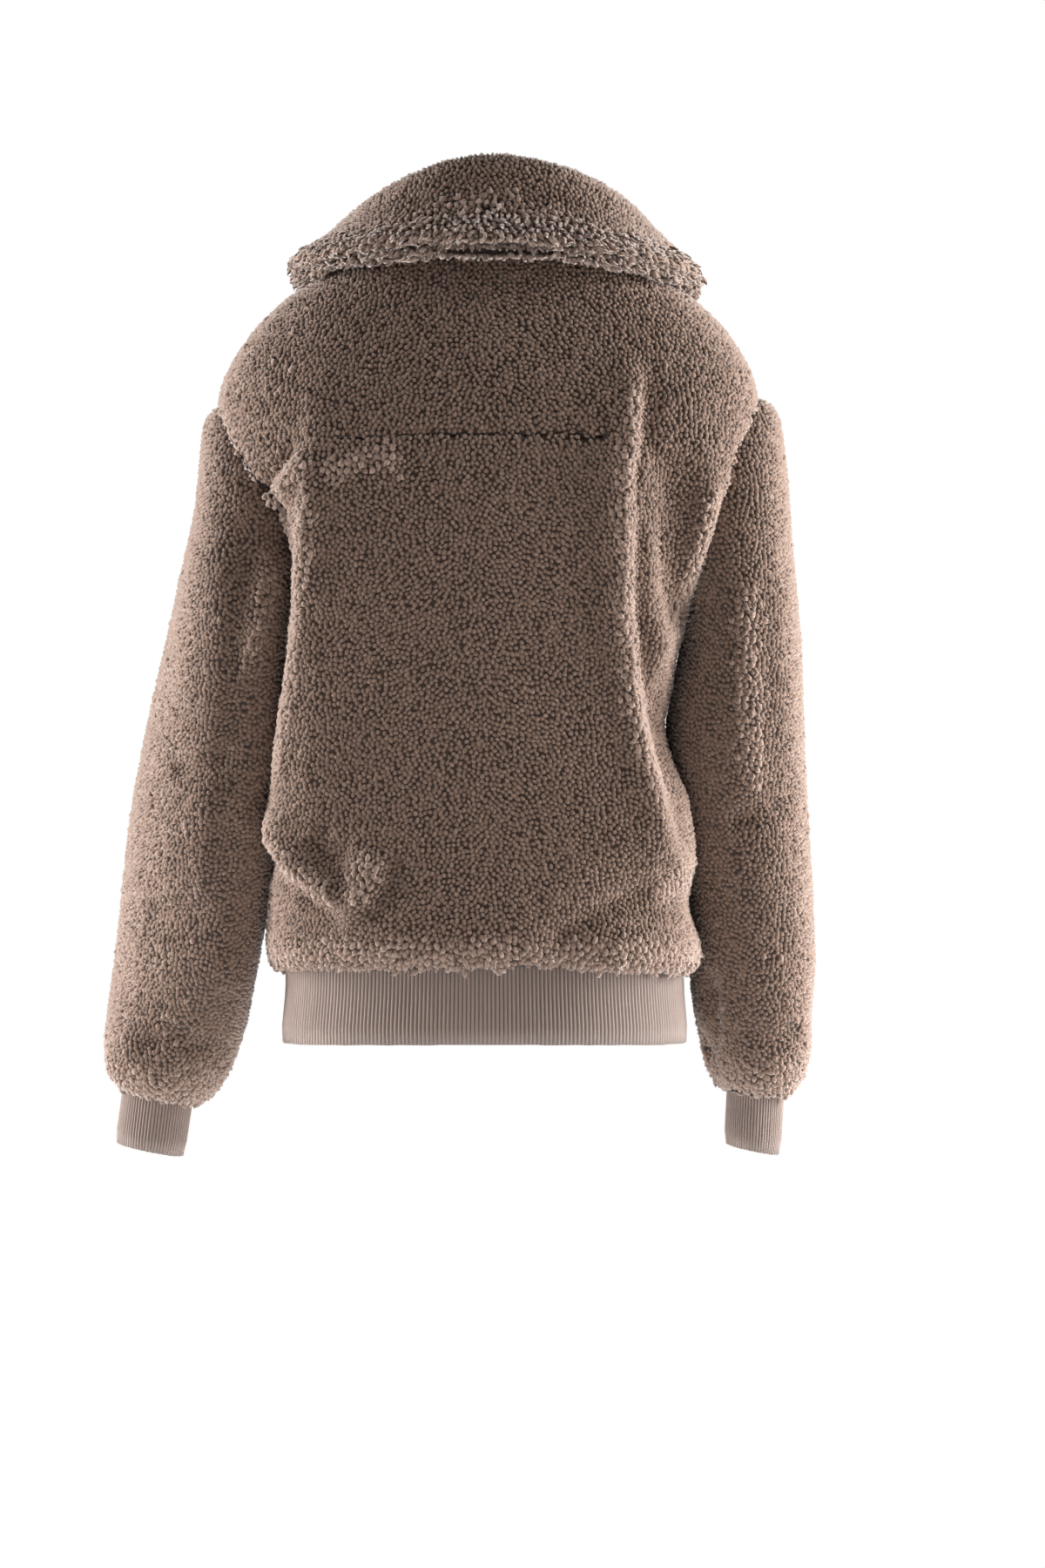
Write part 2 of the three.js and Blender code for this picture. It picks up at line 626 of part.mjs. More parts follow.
// The line between the collar's two layers, from the neck seam over the roll to the outer edge.
function collarCore(read, b) {
  const top = new THREE.Vector2(read('lean'), read('rise'));
  const edge = new THREE.Vector2(read('reach'), -read('drop'));
  if (b < COLLAR_STAND) {
    const foot = new THREE.Vector2(0, 0);
    const rising = new THREE.Vector2(-2, top.y / 2);
    const turning = new THREE.Vector2(top.x - 0.8 * COLLAR_ROLL, top.y);
    return bezier(foot, rising, turning, top, b / COLLAR_STAND);
  }
  const roll = Math.min(COLLAR_ROLL, 0.45 * (edge.x - top.x));
  const leaving = new THREE.Vector2(top.x + roll, top.y);
  const flare = degToRad(read('flare'));
  const landing = new THREE.Vector2(-Math.cos(flare), Math.sin(flare)).multiplyScalar(COLLAR_LANDING);
  return bezier(top, leaving, landing.add(edge), edge, (b - COLLAR_STAND) / (1 - COLLAR_STAND));
}

// layerSide 1 is the upper collar, outside the roll, and -1 the under collar, inside it.
function collarLayer(layerSide, panels) {
  const endAngle = COLLAR[lastIndex(COLLAR)].angle;
  const surface = (a, b, depth) => {
    const angle = lerp(-endAngle, endAngle, a);
    const read = (column) => at(COLLAR, 'angle', column, angle);
    const { point, tangent } = collarCore(read, b);
    const thickening = (b - COLLAR_THICKENING.from) / (COLLAR_THICKENING.to - COLLAR_THICKENING.from);
    const thickness = lerp(FLEECE, COLLAR_EDGE, clamp(thickening, 0, 1));
    const isCorner = b === 1 && depth === 0;
    const out = depth === 0 ? thickness - (isCorner ? COLLAR_ROUNDING.in : 0) : 0;
    const normal = new THREE.Vector2(-tangent.y, tangent.x).multiplyScalar(layerSide);
    point.addScaledVector(normal, SEAM_GAP / 2 + out);
    if (isCorner) point.addScaledVector(tangent, COLLAR_ROUNDING.out);
    const foot = bodyPoint(degToRad(angle), NECK_SEAM, FLEECE / 2);
    const heading = degToRad(read('heading'));
    return new THREE.Vector3(
      foot.x + Math.sin(heading) * point.x,
      foot.y + Math.cos(heading) * point.x,
      foot.z + 2 * SEAM_GAP + point.y,
    );
  };
  let layer = wall(surface, { ...COLLAR_GRID, thickness: 1 });
  for (const panel of panels) layer = layer.subtract(panel);
  return largest(layer);
}

// ---- Zip --------------------------------------------------------------------------------------------

// The front's outer face on the centre line, at a height.
function frontFaceY(z) {
  const isBand = z < HEM_BAND[HEM_SEAM_LEVEL].frontZ;
  return -at(isBand ? HEM_BAND : BODY, 'frontZ', 'front', z);
}

function zipTape(side) {
  const surface = (a, b, depth) => {
    const z = lerp(ZIP.bottom, ZIP.top, b);
    const across = lerp(SEAM_GAP / 2, ZIP.halfGap - SEAM_GAP, a);
    const isChain = depth === 0 && across < ZIP.chainHalf;
    const face = frontFaceY(z) + ZIP.recess - (isChain ? ZIP.chainRelief : 0);
    return new THREE.Vector3(side * across, face + depth, z);
  };
  return wall(surface, { across: 4, up: 14, thickness: ZIP.tape });
}

function rounded(width, height, radius) {
  const shape = new THREE.Shape();
  shape.moveTo(-width / 2 + radius, -height / 2);
  shape.lineTo(width / 2 - radius, -height / 2);
  shape.absarc(width / 2 - radius, -height / 2 + radius, radius, -Math.PI / 2, 0);
  shape.lineTo(width / 2, height / 2 - radius);
  shape.absarc(width / 2 - radius, height / 2 - radius, radius, 0, Math.PI / 2);
  shape.lineTo(-width / 2 + radius, height / 2);
  shape.absarc(-width / 2 + radius, height / 2 - radius, radius, Math.PI / 2, Math.PI);
  shape.lineTo(-width / 2, -height / 2 + radius);
  shape.absarc(-width / 2 + radius, -height / 2 + radius, radius, Math.PI, 1.5 * Math.PI);
  return shape;
}

const geometryToManifold = (geometry) => {
  const bare = geometry.clone();
  bare.deleteAttribute('normal');
  bare.deleteAttribute('uv');
  const merged = mergeVertices(bare, 1e-4);
  return toManifold(Array.from(merged.attributes.position.array), Array.from(merged.index.array));
};

// The slider's own frame: its origin lies on the closed teeth, +Y into the jacket and +Z up along them.
function makeSliderFrame() {
  const z = ZIP.top - SLIDER.below - SLIDER.height / 2;
  const above = z + PULL.length / 4;
  const below = z - 0.75 * PULL.length;
  const slope = (frontFaceY(above) - frontFaceY(below)) / (above - below);
  const teethY = frontFaceY(z) + ZIP.recess - ZIP.chainRelief;
  return new THREE.Matrix4().makeRotationX(-Math.atan(slope)).setPosition(0, teethY - 2 * SEAM_GAP, z);
}

const sliderFrame = makeSliderFrame();
const inSliderFrame = (manifold) => manifold.transform(sliderFrame.elements);

// A flat plate with an outline in X and Z, its back at y.
function plate(outline, y, thickness) {
  const geometry = new THREE.ExtrudeGeometry(outline, {
    depth: thickness,
    bevelEnabled: false,
    curveSegments: 4,
  });
  geometry.rotateX(Math.PI / 2);
  geometry.translate(0, y, 0);
  return geometryToManifold(geometry);
}

// A round bar across the slider, on the pull tab's hinge.
function crossBar(radius, length, sides) {
  const geometry = new THREE.CylinderGeometry(radius, radius, length, sides);
  geometry.rotateZ(Math.PI / 2);
  geometry.translate(0, -SLIDER.pinOut, 0);
  return geometryToManifold(geometry);
}

// A plate over the teeth, with two posts and the pin between them that the pull turns on.
function sliderBody() {
  const outline = rounded(SLIDER.width, SLIDER.height, SLIDER.cornerRadius);
  let body = plate(outline, 0, SLIDER.thickness)
    .add(crossBar(SLIDER.pinRadius, SLIDER.width - SLIDER.post, 12));
  const postOut = SLIDER.pinOut + SLIDER.pinRadius + SLIDER.rooting;
  const depth = postOut - SLIDER.thickness + SLIDER.rooting;
  for (const side of [-1, 1]) {
    const post = new THREE.BoxGeometry(SLIDER.post, depth, SLIDER.postHeight);
    post.translate((side * (SLIDER.width - SLIDER.post)) / 2, depth / 2 - postOut, 0);
    body = body.add(geometryToManifold(post));
  }
  return inSliderFrame(body);
}

function pullTab() {
  const outline = new THREE.Shape();
  const half = PULL.width / 2;
  const neck = PULL.neck / 2;
  outline.moveTo(-neck, 0);
  outline.lineTo(-neck, -PULL.length * PULL.neckEnd);
  outline.lineTo(-half, -PULL.length * PULL.bodyStart);
  outline.lineTo(-half, -PULL.length + half);
  outline.absarc(0, -PULL.length + half, half, Math.PI, 2 * Math.PI);
  outline.lineTo(half, -PULL.length * PULL.bodyStart);
  outline.lineTo(neck, -PULL.length * PULL.neckEnd);
  outline.lineTo(neck, 0);
  return inSliderFrame(plate(outline, -SLIDER.pinOut + PULL.thickness / 2, PULL.thickness)
    .add(crossBar(PULL.eye, PULL.neck, 16))
    .subtract(crossBar(PULL.hole, 2 * PULL.width, 16)));
}

// ---- The jacket -------------------------------------------------------------------------------------

const jacket = new THREE.Group();
const addPiece = (name, manifold, colour, roughness = 1, metalness = 0) => {
  jacket.add(toMesh(manifold, name, colour, roughness, metalness));
  return manifold;
};

const sleeves = [
  { name: 'left', side: 1, rows: LEFT_SLEEVE, folds: LEFT_SLEEVE_FOLDS, cuff: LEFT_CUFF },
  { name: 'right', side: -1, rows: RIGHT_SLEEVE, folds: RIGHT_SLEEVE_FOLDS, cuff: RIGHT_CUFF },
];

const armholes = sleeves.map((sleeve) =>
  sleeveVolume(sleeve, SLEEVE_OUTSIDE, -SEAM_GAP).trimByPlane([0, 0, 1], ARMHOLE_END));

// Half the seam gap at the yoke seam, as a part of a row of the body table.
const yokeGap = SEAM_GAP / 2 / (BODY[YOKE_SEAM + 1].backZ - BODY[YOKE_SEAM].backZ);
const wholeBack = { fromAngle: backEdge(-1), toAngle: backEdge(1), across: BACK_COLUMNS };

addPiece('back', bodyPanel({
  ...wholeBack,
  fromPlace: HEM_SEAM,
  toPlace: YOKE_SEAM - yokeGap,
  up: PANEL_ROWS - 3,
  cutters: [...armholes, hemBandSpace],
}), COLOURS.fleece);

const yoke = addPiece('back_yoke', bodyPanel({
  ...wholeBack,
  fromPlace: YOKE_SEAM + yokeGap,
  toPlace: NECK_SEAM,
  up: 7,
  cutters: armholes,
}), COLOURS.fleece);

const fronts = sleeves.map(({ name, side }) => addPiece(`front_${name}`, bodyPanel({
  fromAngle: frontSeam(side),
  toAngle: zipEdge(side),
  fromPlace: HEM_SEAM,
  toPlace: NECK_SEAM,
  across: FRONT_COLUMNS,
  up: PANEL_ROWS,
  cutters: [...armholes, hemBandSpace],
}), COLOURS.fleece));

for (const sleeve of sleeves) {
  const cloth = sleeveVolume(sleeve, SLEEVE_OUTSIDE, 0)
    .subtract(sleeveVolume(sleeve, SLEEVE_INSIDE, FLEECE))
    .subtract(bodyInside)
    .subtract(cuffSpace(sleeve));
  addPiece(`sleeve_${sleeve.name}`, largest(cloth), COLOURS.fleece);
  addPiece(`cuff_${sleeve.name}`, cuffWall(sleeve), COLOURS.rib);
}

addPiece('hem_band', hemBandWall(), COLOURS.rib);

// The collar clears the panels it lies on, and the shoulder seams between them.
const shoulderSeams = yoke.translate([0, -SEAM_GAP, 0]).trimByPlane([0, -1, 0], -2);
const underCollar = [yoke, ...fronts, shoulderSeams].map((panel) => panel.translate([0, 0, SEAM_GAP]));
addPiece('upper_collar', collarLayer(1, underCollar), COLOURS.fleece);
addPiece('under_collar', collarLayer(-1, underCollar), COLOURS.facing);

for (const { name, side } of sleeves) addPiece(`zip_tape_${name}`, zipTape(side), COLOURS.tape, 0.8);
addPiece('zip_slider', sliderBody(), COLOURS.metal, 0.35, 1);
addPiece('zip_pull', pullTab(), COLOURS.metal, 0.35, 1);

export default jacket;
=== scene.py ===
# %% [markdown]
# # A worn fleece bomber jacket
# The jacket is hollow and hangs as it does on a wearer: thick pile fleece for the body, sleeves and collar,
# rib knit at the hem and cuffs, and a zip down the front. The solids of its pieces come ready made, and
# this lesson dresses them. Each panel becomes a smooth shell of cloth with its creases, and thousands of
# small tufts of pile stand on it. First the frame is loaded.

import math
from typing import NamedTuple

import bpy
import numpy as np
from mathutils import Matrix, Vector
from mathutils.bvhtree import BVHTree
from mathutils.kdtree import KDTree


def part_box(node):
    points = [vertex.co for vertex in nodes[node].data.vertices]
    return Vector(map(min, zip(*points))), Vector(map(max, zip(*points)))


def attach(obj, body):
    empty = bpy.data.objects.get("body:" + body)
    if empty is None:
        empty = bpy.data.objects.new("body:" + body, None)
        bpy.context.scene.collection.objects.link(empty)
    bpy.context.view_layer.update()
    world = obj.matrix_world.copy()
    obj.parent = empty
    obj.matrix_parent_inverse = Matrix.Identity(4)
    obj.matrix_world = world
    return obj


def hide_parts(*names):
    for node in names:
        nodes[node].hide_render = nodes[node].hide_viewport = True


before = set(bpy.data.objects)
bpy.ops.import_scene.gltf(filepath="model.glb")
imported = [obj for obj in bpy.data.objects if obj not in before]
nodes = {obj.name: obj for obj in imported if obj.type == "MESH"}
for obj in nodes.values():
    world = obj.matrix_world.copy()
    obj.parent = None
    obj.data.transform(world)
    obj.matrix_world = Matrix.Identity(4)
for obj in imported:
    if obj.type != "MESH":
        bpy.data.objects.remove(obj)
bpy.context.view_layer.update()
GARMENT = "garment"
MM = 0.001

# %% [markdown]
# ## Camera and light
# The jacket is seen from behind, level with its lower ribs, through a long lens, so it hardly tapers with
# distance. Two tall soft boxes stand at its sides. They light the outer edges of the sleeves and leave the
# middle of the back in soft shade, but they also make the jacket look pale from the side. A weak box
# lights the hem from below and another the front, and an even surround fills the rest. Colours are shown
# without a film curve.

# %% Camera
CAMERA_PLACE = (-0.0266, 2.8, -0.45)
LENS = 77.8
SENSOR_WIDTH = 36

scene = bpy.context.scene
scene.view_settings.view_transform = "Standard"

camera = bpy.data.objects.new("camera", bpy.data.cameras.new("camera"))
scene.collection.objects.link(camera)
camera.location = CAMERA_PLACE
camera.rotation_euler = (math.radians(90), 0, math.radians(180))
camera.data.lens = LENS
camera.data.sensor_width = SENSOR_WIDTH
scene.camera = camera

# %% Light
SURROUND_LIGHT = 0.1
SURROUND_SEEN = 1.0


def softbox(name, place, aim, size, power):
    lamp = bpy.data.lights.new(name, "AREA")
    lamp.shape = "RECTANGLE"
    lamp.size, lamp.size_y = size
    lamp.energy = power
    obj = bpy.data.objects.new(name, lamp)
    obj.location = place
    obj.rotation_euler = (Vector(aim) - Vector(place)).to_track_quat("-Z", "Y").to_euler()
    obj.visible_camera = False
    scene.collection.objects.link(obj)


# name, place, what it faces, width and height, watts
softbox("left_box", (2.0, 0.05, -0.1), (0.2, 0, -0.4), (1.1, 2.2), 124)
softbox("right_box", (-2.0, 0.15, -0.1), (-0.2, 0, -0.4), (1.1, 2.2), 152)
softbox("low_box", (0, 2.0, -1.6), (0, 0, -0.4), (2.2, 1.1), 26)
softbox("front_box", (0, -2.4, 0.3), (0, 0, -0.4), (2.0, 1.6), 34)

world = bpy.data.worlds.new("surround")
scene.world = world
world.use_nodes = True
surround = world.node_tree.nodes
surround.clear()
lighting = surround.new("ShaderNodeBackground")
backdrop = surround.new("ShaderNodeBackground")
for background, strength in ((lighting, SURROUND_LIGHT), (backdrop, SURROUND_SEEN)):
    background.inputs["Color"].default_value = (1, 1, 1, 1)
    background.inputs["Strength"].default_value = strength
seen = surround.new("ShaderNodeLightPath")
choice = surround.new("ShaderNodeMixShader")
output = surround.new("ShaderNodeOutputWorld")
for source, target in ((seen.outputs["Is Camera Ray"], choice.inputs["Fac"]),
                       (lighting.outputs[0], choice.inputs[1]),
                       (backdrop.outputs[0], choice.inputs[2]),
                       (choice.outputs[0], output.inputs[0])):
    world.node_tree.links.new(source, target)
print("camera", tuple(round(v, 3) for v in camera.location), "lens", camera.data.lens)

# %% [markdown]
# ## A small language for materials
# A material is a graph of nodes, and long graphs are hard to read as calls. Here one small class wraps an
# output of a node, so that sums of values can be written as sums. Each sum adds the Math node it needs.
# One method makes any other node from its type, its settings and the values or links of its sockets.

# %% Sums of sockets
class Term:
    """A value that changes over a surface: the output of a node, usable in sums."""

    def __init__(self, finish, socket):
        self.finish = finish
        self.socket = socket

    def _math(self, operation, first, second):
        return self.finish.node("Math", {"operation": operation}, {0: first, 1: second})

    def __add__(self, other):
        return self._math("ADD", self, other)

    def __sub__(self, other):
        return self._math("SUBTRACT", self, other)

    def __rsub__(self, other):
        return self._math("SUBTRACT", other, self)

    def __mul__(self, other):
        return self._math("MULTIPLY", self, other)

    __radd__ = __add__

    def clamped(self):
        return self.finish.node("Clamp", {}, {0: self})


def socket_name(word):
    """The shader's socket for a keyword, such as "Sheen Weight" for sheen_weight."""
    return word.replace("_", " ").title().replace("Ior", "IOR")


class Finish:
    """A material and its graph."""

    def __init__(self, name, **constants):
        self.material = bpy.data.materials.new(name)
        self.material.use_nodes = True
        self.graph = self.material.node_tree
        self.graph.nodes.clear()
        self.shader = self.graph.nodes.new("ShaderNodeBsdfPrincipled")
        output = self.graph.nodes.new("ShaderNodeOutputMaterial")
        self.graph.links.new(self.shader.outputs[0], output.inputs["Surface"])
        for socket, value in constants.items():
            self.shader.inputs[socket_name(socket)].default_value = value

    def feed(self, socket, value):
        if isinstance(value, Term):
            self.graph.links.new(value.socket, socket)
        else:
            socket.default_value = value

    def node(self, kind, settings, inputs, output=0):
        """Makes a node of a kind, applies its settings, then its sockets' values, and gives an output."""
        made = self.graph.nodes.new(f"ShaderNode{kind}")
        for key, value in settings.items():
            setattr(made, key, value)
        for key, value in inputs.items():
            self.feed(made.inputs[key], value)
        return Term(self, made.outputs[output])

    def set(self, **inputs):
        for socket, value in inputs.items():
            self.feed(self.shader.inputs[socket_name(socket)], value)

    def place(self):
        """The piece's own coordinates, in metres."""
        return self.node("TexCoord", {}, {}, "Object")

    def carried(self, name):
        """A value that the mesh carries for each of its points."""
        return self.node("Attribute", {"attribute_name": name}, {}, "Fac")

    def noise(self, scale, detail=2, roughness=0.5):
        inputs = {"Vector": self.place(), "Scale": scale, "Detail": detail, "Roughness": roughness}
        return self.node("TexNoise", {}, inputs, "Fac")

    def stripes(self, direction, scale, distortion, **others):
        inputs = {"Scale": scale, "Distortion": distortion, **others}
        return self.node("TexWave", {"bands_direction": direction}, inputs, "Fac")

    def mix(self, share, first, second):
        """A blend of two colours."""
        settings = {"data_type": "RGBA", "blend_type": "MIX"}
        return self.node("Mix", settings, {0: share, 6: first, 7: second}, 2)

    def bump(self, height, depth, strength=1.0):
        """A Bump node whose height of 1 stands for a depth in metres."""
        return self.node("Bump", {}, {"Height": height, "Distance": depth, "Strength": strength})


def linear(red, green, blue):
    """A colour from its 0 to 255 screen values."""
    def straight(v):
        v /= 255
        return v / 12.92 if v <= 0.04045 else ((v + 0.055) / 1.055) ** 2.4
    return (straight(red), straight(green), straight(blue), 1)


def scaled(colour, factor):
    """A lighter or darker colour."""
    return tuple(min(1, factor * c) for c in colour[:3]) + (1,)


# %% [markdown]
# ## The fleece's finish
# Teddy fleece is a knitted backing with a curled pile brushed out of it. The tips of the tufts catch light
# and the base of each tuft stays in shade, which draws the fine crackle all over the cloth. That light and
# shade is painted into the colour: it follows a value that each tuft's mesh carries from root to tip, with
# painted shade at the root and a painted highlight at the tip, and it shifts a little from tuft to tuft.
# Crossed fibres scatter light at grazing angles, which the shader's sheen gives. The tufts are real meshes,
# and only the single fibres on them are bump.

# %% Pile finish
PILE_ROOT_SHADE = linear(80, 61, 50)
PILE_BODY = linear(124, 99, 84)
PILE_TIP_HIGHLIGHT = linear(172, 148, 134)
WARM_SHEEN = (1, 0.95, 0.92, 1)


def pile_finish(name, body, tip):
    finish = Finish(name, roughness=0.92, sheen_weight=0.7, sheen_roughness=0.5, sheen_tint=WARM_SHEEN,
                    specular_ior_level=0.15)
    height = finish.carried("height")
    tone = finish.carried("tone")
    patches = finish.noise(22, detail=3)
    grain = finish.noise(330, detail=1)
    fibres = finish.noise(1500, detail=3, roughness=0.7)
    # Painted shade at the base of each tuft, darkest at the root, and a painted highlight towards its tip.
    # The tone adds a random shift from tuft to tuft, and lighter tips where the pile opens.
    root_shade_to_body = finish.mix((height * 3.2 - 0.35).clamped(), PILE_ROOT_SHADE, body)
    lit = (height * 0.4 + tone * 0.5 + patches * 0.15 - 0.45).clamped()
    colour = finish.mix(lit, root_shade_to_body, tip)
    shade = fibres * 0.4 + grain * 1.3 + tone * 0.1
    finish.set(base_color=finish.mix((1.02 - shade).clamped(), colour, scaled(body, 0.42)))
    finish.set(normal=finish.bump(fibres, 0.5 * MM, 0.6))
    return finish.material


fleece_pile = pile_finish("fleece_pile", PILE_BODY, PILE_TIP_HIGHLIGHT)
facing_pile = pile_finish("facing_pile", linear(120, 99, 86), linear(168, 144, 130))

# %% [markdown]
# Under the pile lies the backing. On the outside it shows only between tufts, and there it is painted much
# darker than the jersey, as painted shade in the gaps. On the inside it is a fine brushed jersey with its
# own small stitches, in a paler colour.

# %% Backing finish
def backing_finish(name, colour, stitch, relief):
    finish = Finish(name, roughness=0.95, sheen_weight=0.2, sheen_roughness=0.5, specular_ior_level=0.2)
    wales = finish.stripes("X", stitch, 1.5)
    courses = finish.stripes("Z", stitch, 1.5)
    fuzz = finish.noise(700, detail=4, roughness=0.7)
    knit = wales * 0.35 + courses * 0.35 + fuzz * 0.6
    finish.set(base_color=finish.mix((knit - 0.1).clamped(), scaled(colour, 0.55), colour))
    finish.set(normal=finish.bump(knit, relief))
    return finish.material


# The outer face shows only between the tufts and is painted dark there, as painted shade. The jersey inside
# keeps the backing's paler colour.
painted_root_shade = backing_finish("pile_painted_root_shade", linear(92, 71, 60), 260, 0.5 * MM)
jersey = backing_finish("jersey_backing", linear(138, 116, 103), 420, 0.25 * MM)
print("materials:", [m.name for m in bpy.data.materials])

# %% [markdown]
# ## Meshes from arrays
# Everything large is made with arrays of points and faces, which is quick and easy to read. These helpers
# turn arrays into objects, read a mesh back as arrays, and build a search tree for casting rays.

# %% Array helpers
rng = np.random.default_rng(7)


def unit(vectors):
    length = np.linalg.norm(vectors, axis=-1, keepdims=True)
    return vectors / np.maximum(length, 1e-9)


def smoothstep(low, high, value):
    share = np.clip((value - low) / (high - low), 0, 1)
    return share * share * (3 - 2 * share)


def mesh_object(name, points, faces, values=None, materials=(), face_materials=None):
    """An object from points, faces of one size, and named values for each point."""
    mesh = bpy.data.meshes.new(name)
    mesh.vertices.add(len(points))
    mesh.vertices.foreach_set("co", np.ascontiguousarray(points, np.float32).ravel())
    mesh.loops.add(faces.size)
    mesh.loops.foreach_set("vertex_index", np.ascontiguousarray(faces, np.int32).ravel())
    mesh.polygons.add(len(faces))
    mesh.polygons.foreach_set("loop_start", np.arange(0, faces.size, faces.shape[1], dtype=np.int32))
    mesh.update(calc_edges=True)
    for key, value in (values or {}).items():
        mesh.attributes.new(key, "FLOAT", "POINT").data.foreach_set("value", value.astype(np.float32))
    for material in materials:
        mesh.materials.append(material)
    if face_materials is not None:
        mesh.polygons.foreach_set("material_index", face_materials.astype(np.int32))
    mesh.shade_smooth()
    obj = bpy.data.objects.new(name, mesh)
    scene.collection.objects.link(obj)
    return obj


def read(items, key, width, kind=float):
    """A row of values for each item of a mesh."""
    values = np.empty(len(items) * width, np.float32 if kind is float else kind)
    items.foreach_get(key, values)
    return values.reshape(-1, width).astype(kind)


def arrays(mesh):
    """A mesh's points, its points' normals, and its edges."""
    return (read(mesh.vertices, "co", 3), read(mesh.vertex_normals, "vector", 3),
            read(mesh.edges, "vertices", 2, np.int32))


def tree_of(*objects):
    points, faces, start = [], [], 0
    for obj in objects:
        mesh = obj.data
        points += [v.co.copy() for v in mesh.vertices]
        faces += [[start + i for i in polygon.vertices] for polygon in mesh.polygons]
        start += len(mesh.vertices)
    return BVHTree.FromPolygons(points, faces)


def distances(tree, points, directions, reach):
    """How far each ray goes before it meets the tree's surface, or reach."""
    found = np.full(len(points), reach)
    for index, (point, direction) in enumerate(zip(points.tolist(), directions.tolist())):
        hit = tree.ray_cast(point, direction, reach)
        if hit[0] is not None:
            found[index] = hit[3]
    return found


def triangles(obj):
    return sum(len(polygon.vertices) - 2 for polygon in obj.data.polygons)


# %% [markdown]
# ## Creases
# The solids carry the broad folds. The cloth adds the finer, sharper ones, each a path across the back or
# front, in millimetres across and up. A crease is a ridge whose cloth falls away steeply on the left hand
# of its path and gently on the right, with a hollow beside the steep fall. A negative ridge is a groove.
# The jacket is full in the back, so a long ridge hangs from each shoulder blade down to where the cloth
# blouses over the hem band. The creases of the front are made up, as if it hung the same way.

# %% Crease paths
BACK, FRONT = 1, -1


class Crease(NamedTuple):
    """A path with its heights and widths, all in millimetres. The hollow lies beyond the steep side."""
    name: str
    side: int
    path: list
    ridge: float
    gentle: float
    steep: float
    hollow: float = 0
    beyond: float = 20
    spread: float = 10


BODY_CREASES = [
    Crease("left shoulder ridge", BACK,
           [(148, -186), (147, -205), (149, -230), (151, -260), (153, -292), (156, -333), (162, -374),
            (168, -416), (173, -457), (176, -478)], 6, 13, 6, 7, 13, 9),
    Crease("left blouse fold", BACK,
           [(178, -462), (176, -494), (163, -513), (147, -527), (128, -539), (109, -541)],
           9.5, 14, 6, 8.5, 12, 9),
    Crease("left blouse return", BACK, [(118, -543), (101, -538), (94, -524), (90, -500)],
           7, 20, 11, 3, 14, 9),
    Crease("left blouse hollow", BACK, [(146, -487), (128, -505), (108, -509)], -7, 12, 12),
    Crease("left shoulder wing", BACK, [(146, -184), (160, -203), (178, -219), (190, -227)],
           7, 13, 6, 8.5, 11, 8),
    Crease("right shoulder ridge", BACK,
           [(-156, -525), (-149, -498), (-142, -478), (-130, -436), (-120, -395), (-114, -354), (-110, -312),
            (-110, -260), (-110, -209), (-116, -167), (-118, -126), (-119, -92)], 7, 15, 6, 9, 13, 10),
    Crease("right armhole ridge", BACK,
           [(-146, -352), (-154, -312), (-161, -284), (-170, -254), (-178, -225), (-184, -196)],
           7, 9, 8, 4, 13, 8),
    Crease("right blouse crease", BACK,
           [(-137, -527), (-116, -538), (-86, -553), (-58, -568), (-36, -580)], -4.5, 9, 7),
    Crease("right hip pull", BACK, [(-166, -500), (-150, -528), (-128, -545)], 3, 12, 9),
    Crease("left yoke swell", BACK, [(60, -190), (110, -196), (140, -210)], 2, 16, 16),
    Crease("left front ridge", FRONT,
           [(118, -180), (128, -240), (133, -300), (142, -370), (152, -440), (158, -500)],
           8, 16, 7, 7, 13, 9),
    Crease("right front ridge", FRONT,
           [(-152, -505), (-144, -440), (-132, -370), (-124, -300), (-120, -240), (-112, -185)],
           8, 17, 7, 7, 13, 9),
    Crease("left front blouse", FRONT, [(158, -505), (138, -535), (100, -556), (60, -566)],
           8, 15, 7, 5.5, 12, 9),
    Crease("right front blouse", FRONT, [(-52, -570), (-96, -560), (-132, -540), (-154, -512)], -6, 10, 10),
]
SLEEVE_CREASES = {
    "sleeve_left": [
        Crease("elbow fold", BACK, [(205, -418), (232, -437), (262, -440)], -5.5, 10, 9),
        Crease("inner arm ridge", BACK, [(176, -255), (186, -320), (196, -372)], 2, 12, 8, 2, 13, 9),
        Crease("outer arm swell", BACK, [(216, -215), (222, -290), (228, -396), (237, -500), (240, -575)],
               9, 15, 38),
        Crease("forearm fold", BACK, [(222, -560), (250, -548), (284, -560)], -3, 10, 10),
        Crease("wrist slouch", BACK, [(226, -668), (258, -656), (300, -668)], -4.5, 9, 8),
        Crease("front elbow fold", FRONT, [(196, -440), (226, -452), (268, -446)], -6, 10, 9),
        Crease("front forearm fold", FRONT, [(216, -520), (250, -536), (284, -528)], -4.5, 10, 9),
    ],
    "sleeve_right": [
        Crease("back arm ridge", BACK, [(-214, -480), (-212, -400), (-208, -330), (-205, -260)],
               2, 16, 12, 1.5, 16, 11),
        Crease("long wrist crease", BACK, [(-178, -696), (-183, -650), (-182, -600)], -8, 8, 8),
        Crease("elbow fold", BACK, [(-252, -462), (-220, -470), (-190, -484)], -4.5, 10, 9),
        Crease("wrist slouch", BACK, [(-262, -650), (-234, -660), (-204, -648)], -3, 9, 9),
        Crease("front elbow fold", FRONT, [(-250, -444), (-214, -458), (-176, -450)], -6, 10, 9),
        Crease("front forearm fold", FRONT, [(-256, -540), (-222, -552), (-190, -540)], -4.5, 10, 9),
    ],
}
PATH_FADE = 0.22
CREST_WIDTH = 0.8
WIDEST_CREST = 25


